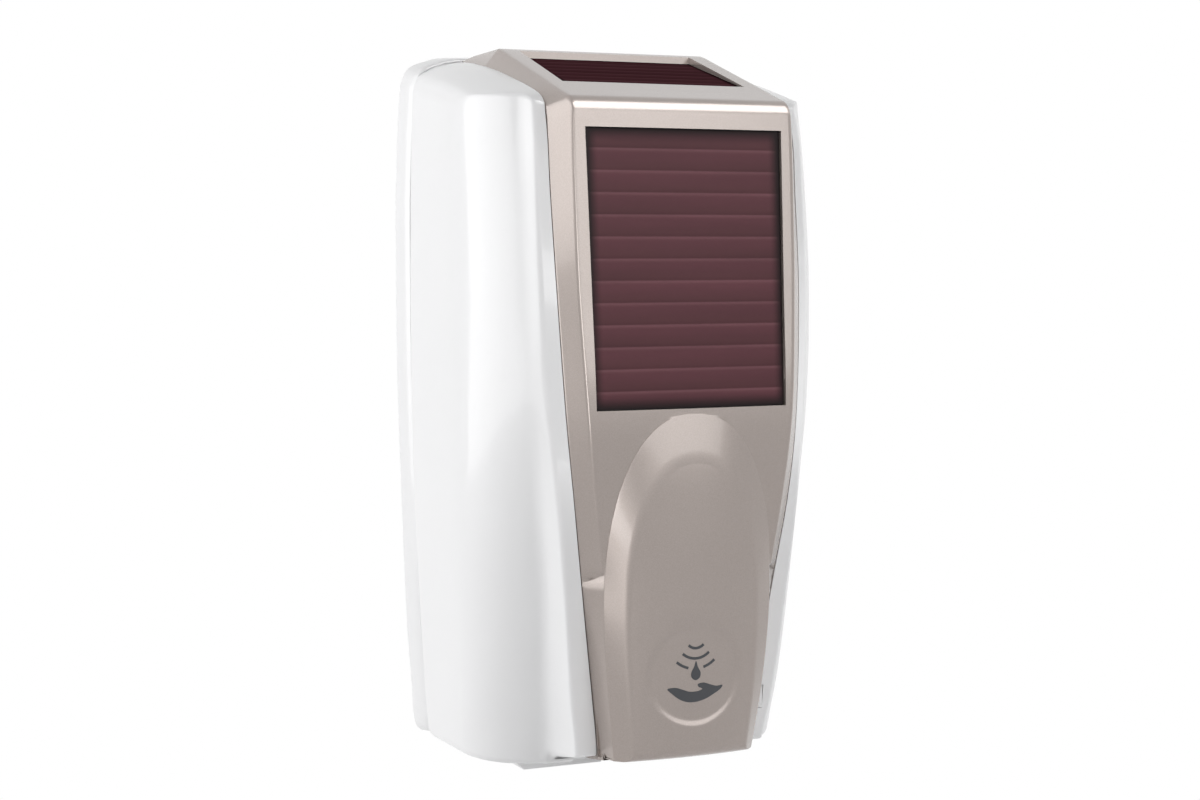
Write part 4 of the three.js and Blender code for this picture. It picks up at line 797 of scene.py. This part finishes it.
def soften(node, width):
    """A copy of a CAD node with a small round on its edges."""
    piece = solid_of(node)
    with editing(piece.data) as shape:
        bmesh.ops.dissolve_limit(shape, angle_limit=math.radians(1), verts=shape.verts, edges=shape.edges)
        sharp = [edge for edge in shape.edges
                 if edge.is_manifold and edge.calc_face_angle(0) > math.radians(28)]
        bmesh.ops.bevel(shape, geom=sharp, offset=width * MM, segments=2, profile=0.5, affect="EDGES",
                        clamp_overlap=True)
    piece.name = node + "_finish"
    return smooth(piece, 35)


def make_spring(name, depth, radius, foot, top):
    """A coil of round wire with flat ends."""
    wire, turns, ends = 0.7, 5, 0.3
    rings = []
    for turn in np.linspace(0, turns, turns * 28 + 1):
        rise = np.interp(turn, [0, ends, turns - ends, turns], [0, 0.02, 0.98, 1])
        angle = 2 * math.pi * turn
        around_wire = np.linspace(0, 2 * math.pi, 10, endpoint=False)
        out = radius + wire * np.cos(around_wire)
        height = foot + wire + rise * (top - foot - 2 * wire) + wire * np.sin(around_wire)
        rings.append(np.stack([out * math.cos(angle), depth + out * math.sin(angle), height], 1))
    return smooth(loft(name, rings), 50)


def connect(tree, value, socket):
    """Links an input where the value is another node's output, or else sets it."""
    if isinstance(value, bpy.types.NodeSocket):
        tree.links.new(value, socket)
    else:
        socket.default_value = value


def add(tree, kind, inputs=(), **settings):
    """A node with its settings, and with its inputs linked or set, by name or by number."""
    node = tree.nodes.new(kind)
    for name, value in settings.items():
        setattr(node, name, value)
    for name, value in dict(inputs).items():
        connect(tree, value, node.inputs[name])
    return node


def reckon(tree, operation, *values):
    return add(tree, "ShaderNodeMath", enumerate(values), operation=operation).outputs[0]


def screw_tree():
    """Screws at the points of a mesh: a chamfered head with a cross cut in it, and a shank."""
    tree = bpy.data.node_groups.new("screws", "GeometryNodeTree")
    for name, kind in (("Geometry", "Geometry"), ("Head Radius", "Float"), ("Head Height", "Float"),
                       ("Shank Radius", "Float"), ("Shank Length", "Float"), ("Aim", "Vector"),
                       ("Material", "Material")):
        tree.interface.new_socket(name, in_out="INPUT", socket_type="NodeSocket" + kind)
    tree.interface.new_socket("Geometry", in_out="OUTPUT", socket_type="NodeSocketGeometry")
    given = add(tree, "NodeGroupInput").outputs

    def share_of(name, share):
        return reckon(tree, "MULTIPLY", given[name], share)

    def lifted(geometry, height):
        by = add(tree, "ShaderNodeCombineXYZ", {"Z": height}).outputs[0]
        return add(tree, "GeometryNodeTransform", {"Geometry": geometry, "Translation": by}).outputs[0]

    head = add(tree, "GeometryNodeMeshCone", {
        "Vertices": 32, "Radius Top": share_of("Head Radius", 0.8), "Radius Bottom": given["Head Radius"],
        "Depth": given["Head Height"]})
    cross = add(tree, "GeometryNodeMeshBoolean", {0: head.outputs["Mesh"]}, operation="DIFFERENCE")
    for along, aside in ("XY", "YX"):
        size = add(tree, "ShaderNodeCombineXYZ", {
            along: share_of("Head Radius", 1.15), aside: share_of("Head Radius", 0.26),
            "Z": share_of("Head Height", 1.1)})
        bar = add(tree, "GeometryNodeMeshCube", {"Size": size.outputs[0]})
        connect(tree, lifted(bar.outputs["Mesh"], given["Head Height"]), cross.inputs[1])
    shank = add(tree, "GeometryNodeMeshCylinder", {
        "Vertices": 24, "Radius": given["Shank Radius"], "Depth": given["Shank Length"]})
    low = reckon(tree, "ADD", share_of("Shank Length", -0.5), share_of("Head Height", 0.3))
    screw = add(tree, "GeometryNodeJoinGeometry", {0: cross.outputs["Mesh"]})
    connect(tree, lifted(shank.outputs["Mesh"], low), screw.inputs[0])
    turn = add(tree, "FunctionNodeAlignRotationToVector", {"Vector": given["Aim"]}, axis="Z")
    spread = add(tree, "GeometryNodeInstanceOnPoints", {
        "Points": given["Geometry"], "Instance": screw.outputs[0], "Rotation": turn.outputs[0]})
    real = add(tree, "GeometryNodeRealizeInstances", {0: spread.outputs[0]}).outputs[0]
    painted = add(tree, "GeometryNodeSetMaterial", {"Geometry": real, "Material": given["Material"]})
    add(tree, "NodeGroupOutput", {0: painted.outputs[0]})
    return tree


SCREW = {"Head Radius": 3.15, "Head Height": 1.8, "Shank Radius": 1.38}


def screws(name, tree, names, aim, length):
    """One mesh of the named CAD screws, set at the underside of their heads."""
    head_half = SCREW["Head Height"] / 2 * MM
    seats = []
    for node in names:
        low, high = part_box(node)
        seat = [(low[k] + high[k]) / 2 for k in range(3)]
        axis = 1 if aim[1] else 2
        seat[axis] = low[axis] + head_half if aim[axis] < 0 else high[axis] - head_half
        seats.append(seat)
    mesh = bpy.data.meshes.new(name)
    mesh.from_pydata(seats, [], [])
    piece = put(name, mesh)
    step = piece.modifiers.new("screws", "NODES")
    step.node_group = tree
    values = {part: size * MM for part, size in SCREW.items()}
    values |= {"Shank Length": length * MM, "Aim": aim, "Material": finishes["steel"]}
    for socket in tree.interface.items_tree:
        if socket.in_out == "INPUT" and socket.name in values:
            step[socket.identifier] = values[socket.name]
    bpy.context.view_layer.update()
    evaluated(piece)
    return smooth(piece, 35)


# ---- back plate

PLATE_WALL = 1.5
PLATE_DRAFT = 0.022  # by which it is narrower in front than at the wall, as a share
WALL_SLOTS = [(x, z) for x in (-40, 40) for z in (63, 213)]
SLOT_HALF = 2, 7
BUTTON_HOLE = (-8.3, 8.3), (2.8, 10.4), (260, 300)


def plate_ring(depth, distance):
    rows = through(PLATE_OUTLINE, 4)
    draft = PLATE_DRAFT * depth / PLATE_DEPTH
    spread = (rows[:, 1] - 0.5) * (1 - draft / 2) + 0.5
    half = np.stack([rows[:, 0] * HALF_WIDTH * (1 - draft), spread * HEIGHT], 1)
    ring = both(inset(half, distance) if distance else half)
    return np.stack([ring[:, 0], np.full(len(ring), depth), ring[:, 1]], 1)


def plate_loft(name, rings):
    return loft(name, [plate_ring(depth, by) for depth, by in rings])


def make_plate():
    wide, tall = SLOT_HALF
    outer = plate_loft("plate_form", [(0, 0.5), (0.5, 0.0), (6, 0), (12.3, 0), (12.8, 0.2), (13, 0.7)])
    inner = plate_loft("plate_core", [(depth, CORE_INSET) for depth in (CORE_BACK, 6, 12.96)])
    core = combine(solid_of("back_plate"), [inner], "INTERSECT")
    behind = block((-FAR, FAR), (BEYOND, PLATE_DEPTH + 0.02), (-FAR, FAR))
    ahead = combine(solid_of("back_plate"), [behind], "DIFFERENCE")
    combine(outer, [
        plate_loft("hollow", [(1.2, PLATE_WALL), (PLATE_DEPTH + 4, PLATE_WALL)]),
        block(*BUTTON_HOLE),
        *[block((x - wide, x + wide), (BEYOND, 6), (z - tall, z + tall)) for x, z in WALL_SLOTS],
    ], "DIFFERENCE")
    joined(outer, [core, ahead])
    outer.name = "wall_plate"
    return smooth(outer, 32)


# ---- materials

def linear(*colour):
    """From 0-255 screen values."""
    shares = (c / 255 for c in colour)
    return tuple(c / 12.92 if c <= 0.04045 else ((c + 0.055) / 1.055) ** 2.4 for c in shares)


def skin_inputs(tree):
    return tree.nodes["Principled BSDF"].inputs


def shader(name, colour, roughness, metallic=0.0, coat=0.0, coat_roughness=0.05, specular=0.5):
    material = bpy.data.materials.new(name)
    material.use_nodes = True
    for socket, value in {
            "Base Color": (*colour, 1), "Roughness": roughness, "Metallic": metallic, "Coat Weight": coat,
            "Coat Roughness": coat_roughness, "Specular IOR Level": specular}.items():
        skin_inputs(material.node_tree)[socket].default_value = value
    return material, material.node_tree


def object_place(tree):
    return add(tree, "ShaderNodeTexCoord").outputs["Object"]


def mapped(tree, change, value):
    """The place in the object, with a Scale or a Rotation."""
    return add(tree, "ShaderNodeMapping", {"Vector": object_place(tree), change: value}).outputs["Vector"]


def noise(tree, scale, detail, vector=None):
    return add(tree, "ShaderNodeTexNoise", {
        "Scale": scale, "Detail": detail, "Vector": vector or object_place(tree)}).outputs["Fac"]


def ramp(tree, factor, stops, interpolation="LINEAR"):
    node = add(tree, "ShaderNodeValToRGB", {"Fac": factor})
    node.color_ramp.interpolation = interpolation
    elements = node.color_ramp.elements
    while len(elements) < len(stops):
        elements.new(0.5)
    for element, (position, colour) in zip(elements, stops):
        element.position = position
        element.color = (*colour, 1) if len(colour) == 3 else (colour[0],) * 3 + (1,)
    return node.outputs["Color"]


def finished(material, colour, height, strength, distance=0.0002):
    """The material with a colour from nodes and a relief on its skin."""
    tree = material.node_tree
    relief = add(tree, "ShaderNodeBump", {"Strength": strength, "Distance": distance, "Height": height})
    connect(tree, colour, skin_inputs(tree)["Base Color"])
    connect(tree, relief.outputs["Normal"], skin_inputs(tree)["Normal"])
    return material


def blended(tree, a, b, factor, blend="MIX"):
    """Two colours mixed or multiplied."""
    node = add(tree, "ShaderNodeMix", data_type="RGBA", blend_type=blend)
    for name, value in (("A", a), ("B", b), ("Factor", factor)):
        connect(tree, value, node.inputs[name])
    return node.outputs["Result"]


def moulded(name, colour, roughness, grain, strength, vary, coat=0.0):
    """Moulded plastic: a faint, slow cloud in its colour and a fine grain on its skin."""
    base = linear(*colour)
    material, tree = shader(name, base, roughness, coat=coat)
    dark = tuple(c * (1 - vary) for c in base)
    light = tuple(min(c * (1 + vary), 1) for c in base)
    cloud = ramp(tree, noise(tree, 14, 1), [(0.1, dark), (0.9, light)])
    return finished(material, cloud, noise(tree, grain, 3), strength)


def pearl_plastic():
    """Warm grey plastic full of fine pearl flakes."""
    base = linear(170, 159, 153)
    material, tree = shader("pearl_plastic", base, 0.26, 0.3, 0.45, 0.07, specular=0.35)
    flakes = add(tree, "ShaderNodeTexVoronoi", {"Scale": 7000, "Vector": object_place(tree)})
    parts = add(tree, "ShaderNodeSeparateColor", {"Color": flakes.outputs["Color"]}).outputs
    shades = [(0.0, linear(164, 153, 147)), (0.5, base), (1.0, linear(177, 167, 161))]
    return finished(material, ramp(tree, parts["Red"], shades), parts["Green"], 0.01, 0.0001)


def fade_in(tree, value, start, reach):
    """Rises softly from 0 at the start to 1 after the reach, in metres."""
    return add(tree, "ShaderNodeMapRange", {"From Min": start, "From Max": start + reach, "Value": value},
               interpolation_type="SMOOTHSTEP").outputs["Result"]


def light_cells(name, along, first_line, pitch, edge_shade_spans, painted_shade_factor, specular):
    """Wine-red cells in rows between fine lines, with painted shade: a dark band of painted shadow just past
    each line that lightens across the row, and painted shade darkening toward the window's edges.
    """
    material, tree = shader(name, linear(104, 64, 70), 0.4, specular=specular)
    parts = add(tree, "ShaderNodeSeparateXYZ", {"Vector": object_place(tree)}).outputs
    from_line = reckon(tree, "SUBTRACT", parts[along], first_line)
    rows = reckon(tree, "FRACT", reckon(tree, "DIVIDE", from_line, pitch))
    # Painted shadow: just past each light line the row turns dark, then lightens again toward the next line;
    # the painted shade factor darkens every tone.
    cells = ramp(tree, rows, [(at, tuple(c * painted_shade_factor for c in linear(*tone))) for at, tone in (
        (0.0, (124, 80, 87)), (0.06, (122, 79, 86)), (0.1, (88, 51, 56)), (0.25, (95, 57, 62)),
        (0.6, (101, 60, 67)), (0.88, (106, 63, 71)), (0.95, (112, 70, 77)), (1.0, (124, 80, 87)))])
    streaks = noise(tree, 45, 3, mapped(tree, "Scale", (0.25, 3.0, 3.0)))
    streaked = blended(tree, cells, ramp(tree, streaks, [(0.25, (0.86,)), (0.75, (1.08,))]), 1, "MULTIPLY")
    # Painted shade: the cells fade to a near-black colour toward each edge of the window, over the reach
    # given for that edge.
    edge = 1.0
    for axis, low, high, reach in edge_shade_spans:
        rise = fade_in(tree, parts[axis], low, reach)
        fall = fade_in(tree, reckon(tree, "MULTIPLY", parts[axis], -1.0), -high, reach)
        edge = reckon(tree, "MULTIPLY", edge, reckon(tree, "MULTIPLY", rise, fall))
    return finished(material, blended(tree, (*linear(20, 6, 8), 1), streaked, edge), rows, 0.08)


def brushed(name, colour, roughness):
    base = linear(*colour)
    material, tree = shader(name, base, roughness, 1.0)
    lines = noise(tree, 260, 3, mapped(tree, "Scale", (1, 1, 18)))
    worn = ramp(tree, lines, [(0.3, (roughness * 0.75,)), (0.7, (roughness * 1.35,))])
    connect(tree, worn, skin_inputs(tree)["Roughness"])
    return finished(material, (*base, 1), lines, 0.08)


def circuit():
    material, tree = shader("circuit_board", linear(36, 84, 54), 0.35, coat=0.4)
    bricks = add(tree, "ShaderNodeTexBrick", {
        "Scale": 160, "Color1": (*linear(34, 78, 50), 1), "Color2": (*linear(42, 96, 60), 1),
        "Mortar": (*linear(96, 130, 84), 1), "Mortar Size": 0.03,
        "Vector": mapped(tree, "Rotation", (math.pi / 2, 0, 0))})
    return finished(material, bricks.outputs["Color"], bricks.outputs["Fac"], 0.1, 0.0001)


def refill_plastic():
    """Milky bottle: cloudy soap behind a thin wall."""
    material, tree = shader("refill_plastic", linear(214, 226, 233), 0.3, coat=0.3)
    for name, value in ("Weight", 0.2), ("Radius", (0.02, 0.02, 0.025)), ("Scale", 0.3):
        skin_inputs(tree)["Subsurface " + name].default_value = value
    shades = [(0.3, linear(204, 219, 228)), (0.7, linear(224, 233, 238))]
    return finished(material, ramp(tree, noise(tree, 14, 3), shades), noise(tree, 90, 2), 0.05, 0.0004)


def cell_can():
    """A battery cell: a coloured sleeve with plain metal ends, in bands of height."""
    steel, sleeve, dark = linear(190, 192, 196), linear(52, 104, 150), linear(30, 34, 40)
    material, tree = shader("cell_can", sleeve, 0.35)
    height = add(tree, "ShaderNodeSeparateXYZ", {"Vector": object_place(tree)}).outputs["Z"]
    span = add(tree, "ShaderNodeMapRange", {"From Min": -0.1206, "From Max": -0.0694, "Value": height})
    bands = [(0.0, steel), (0.03, sleeve), (0.72, dark), (0.94, steel)]
    colour = ramp(tree, span.outputs["Result"], bands, "CONSTANT")
    return finished(material, colour, noise(tree, 400, 2), 0.03)


finishes = {
    "white_plastic": moulded("white_plastic", (243, 243, 244), 0.28, 2600, 0.03, 0.006, coat=0.35),
    "pearl_plastic": pearl_plastic(),
    "light_panel": light_cells("front_cells", "Z", 0.0091, 0.00798, [
        ("X", -0.0392, 0.0392, 0.0048), ("Z", 0.003, 0.105, 0.006)], 1, 0.12),
    "black_plastic": moulded("black_plastic", (28, 27, 30), 0.45, 1200, 0.1, 0.1),
    "grey_plastic": moulded("grey_plastic", (112, 115, 118), 0.5, 1100, 0.12, 0.05),
    "natural_plastic": moulded("natural_plastic", (230, 227, 216), 0.48, 1000, 0.08, 0.02),
    "refill_plastic": refill_plastic(),
    "slate_plastic": moulded("slate_plastic", (46, 49, 56), 0.16, 900, 0.02, 0.06, coat=0.5),
    "circuit_board": circuit(),
    "steel": brushed("steel", (188, 190, 194), 0.32),
    "brass": brushed("brass", (196, 164, 92), 0.3),
    "cell_can": cell_can(),
}
slots = {entry["node"]: entry["material_slot"] for entry in frame["record"]["subparts"]}
# The top panel is a darker copy of the front cells: painted shade of 0.62 over every tone, with painted edge
# shade over 3 mm.
top_cells = light_cells("top_cells", "Y", -0.0855, 0.0062, [
    ("X", -0.037, 0.037, 0.003), ("Y", -0.0858, -0.0415, 0.003)], 0.62, 0.0)


# ---- pieces on their bodies

def dress(piece, material):
    piece.data.materials.clear()
    piece.data.materials.append(material)


def stands_for(piece, body, node, *others):
    dress(piece, finishes[slots[node]])
    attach(piece, body)
    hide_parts(node, *others)
    return piece


for name, node in nodes.items():
    dress(node, top_cells if name == "top_light_panel" else finishes[slots[name]])

stands_for(make_cover(), "cover", "cover_shell")
stands_for(make_face(), "cover", "face_panel")
stands_for(make_plate(), "housing", "back_plate")

mark = make_mark()
dress(mark, finishes["slate_plastic"])
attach(mark, "cover")

body_of = {name: body for body, holder in frame["bodies"].items() for name, node in nodes.items()
           if node.parent == holder}
screw_nodes = screw_tree()
for kind, count, body, aim, length in (
        ("chassis_screw", 4, "housing", (0.0, -1.0, 0.0), 4.6),
        ("guard_screw", 2, "housing", (0.0, 0.0, 1.0), 7.6),
        ("panel_screw", 4, "cover", (0.0, 1.0, 0.0), 7.4),
        ("catch_screw", 2, "cover", (0.0, 0.0, -1.0), 2.8)):
    names = [f"{kind}_{i + 1}" for i in range(count)]
    stands_for(screws(kind + "s", screw_nodes, names, aim, length), body, *names)

for name, node, depth, radius, foot, top, joint, anchor, keep in (
        ("pump_coil", "pump_spring", 67.98, 7.7, 37.73, 48.36, "pump_lift", 48.36, 0.16),
        ("latch_coil", "latch_spring", 6.6, 2.2, 235.34, 247.61, "latch_press", 235.34, 0.71)):
    spring = stands_for(make_spring(name, depth, radius, foot, top), "housing", node)
    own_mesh(spring)

# The rest gets a small round; the light panels stay as the plain slabs that they are
done = {"cover_shell", "face_panel", "back_plate", "latch_spring", "pump_spring", "front_light_panel",
        "top_light_panel"}
for name in sorted(nodes):
    if name not in done and "screw" not in name:
        small = name.endswith("board") or any(word in name for word in ("gear", "pinion", "cell"))
        stands_for(soften(name, 0.12 if small else 0.35), body_of[name], name)


# ---- camera, light and stage

CAMERA_AT = (-0.3707, -0.847, 0.0626)
CAMERA_TURN = 24.57  # degrees, from straight at the front
CAMERA_DOWN = 3.96
CAMERA_LENS = 67.28
CAMERA_SENSOR = 36
FLOOR_HEIGHT = -0.3
WORLD_LIGHT = 0.3
LIGHT_AIM = (0, -0.05, 0)
# Degrees round from the front and above level, distance, width and height, watts; the last two
# lamps show only in the gloss
LAMPS = (
    ("side_box", -106, 8, 1.7, 1.8, 2.2, 29, False),
    ("front_box", 16, 16, 2.2, 1.5, 1.0, 11.5, False),
    ("right_box", 96, 12, 1.7, 1.0, 1.6, 4, False),
    ("flank_shine", -27, -4, 1.8, 0.8, 1.0, 13, True),
    ("crest_shine", 30, 52, 1.5, 1.3, 0.9, 22, True),
)


def way_to(turn, rise):
    """A level direction out of the front, turned to the right and raised."""
    turn, rise = math.radians(turn), math.radians(rise)
    return Vector((math.sin(turn) * math.cos(rise), -math.cos(turn) * math.cos(rise), math.sin(rise)))


def hold(name, data, at, ahead):
    """Puts a camera or a lamp at its place, turned to look ahead."""
    holder = put(name, data)
    holder.location = at
    holder.rotation_euler = ahead.to_track_quat("-Z", "Y").to_euler()
    return holder


def camera():
    lens = bpy.data.cameras.new("camera")
    lens.lens = CAMERA_LENS
    lens.sensor_width = CAMERA_SENSOR
    bpy.context.scene.camera = hold("camera", lens, CAMERA_AT, -way_to(-CAMERA_TURN, CAMERA_DOWN))


def softbox(name, turn, rise, away, width, height, power, only_gloss):
    lamp = bpy.data.lights.new(name, "AREA")
    lamp.shape = "RECTANGLE"
    lamp.size, lamp.size_y = width, height
    lamp.energy = power
    at = away * way_to(turn, rise)
    hold(name, lamp, at, Vector(LIGHT_AIM) - at).visible_diffuse = not only_gloss


def lit_and_seen(tree, lit, seen, output):
    """Lights with one shader, and shows the other to the camera, in gloss and through glass."""
    path = add(tree, "ShaderNodeLightPath").outputs
    shown = reckon(tree, "MAXIMUM", path["Is Camera Ray"], path["Is Transmission Ray"])
    shown = reckon(tree, "MAXIMUM", shown, path["Is Glossy Ray"])
    mix = add(tree, "ShaderNodeMixShader", {"Fac": shown, 1: lit.outputs[0], 2: seen.outputs[0]})
    connect(tree, mix.outputs[0], output.inputs["Surface"])


def studio():
    white = (1, 1, 1, 1)
    world = bpy.data.worlds.new("studio")
    bpy.context.scene.world = world
    world.use_nodes = True
    tree = world.node_tree
    tree.nodes.clear()
    lit_and_seen(tree, add(tree, "ShaderNodeBackground", {"Color": white, "Strength": WORLD_LIGHT}),
                 add(tree, "ShaderNodeBackground", {"Color": white}), add(tree, "ShaderNodeOutputWorld"))

    corners = [(-3, -3), (3, -3), (3, 3), (-3, 3)]
    floor = new_piece("floor", [(x, y, FLOOR_HEIGHT) for x, y in corners], [(0, 1, 2, 3)])
    material, tree = shader("floor_paper", (0.8, 0.8, 0.8), 0.9)
    lit_and_seen(tree, tree.nodes["Principled BSDF"], add(tree, "ShaderNodeEmission", {"Color": white}),
                 tree.nodes["Material Output"])
    floor.data.materials.append(material)
    for lamp in LAMPS:
        softbox(*lamp)


camera()
studio()
bpy.context.scene.view_settings.view_transform = "Standard"
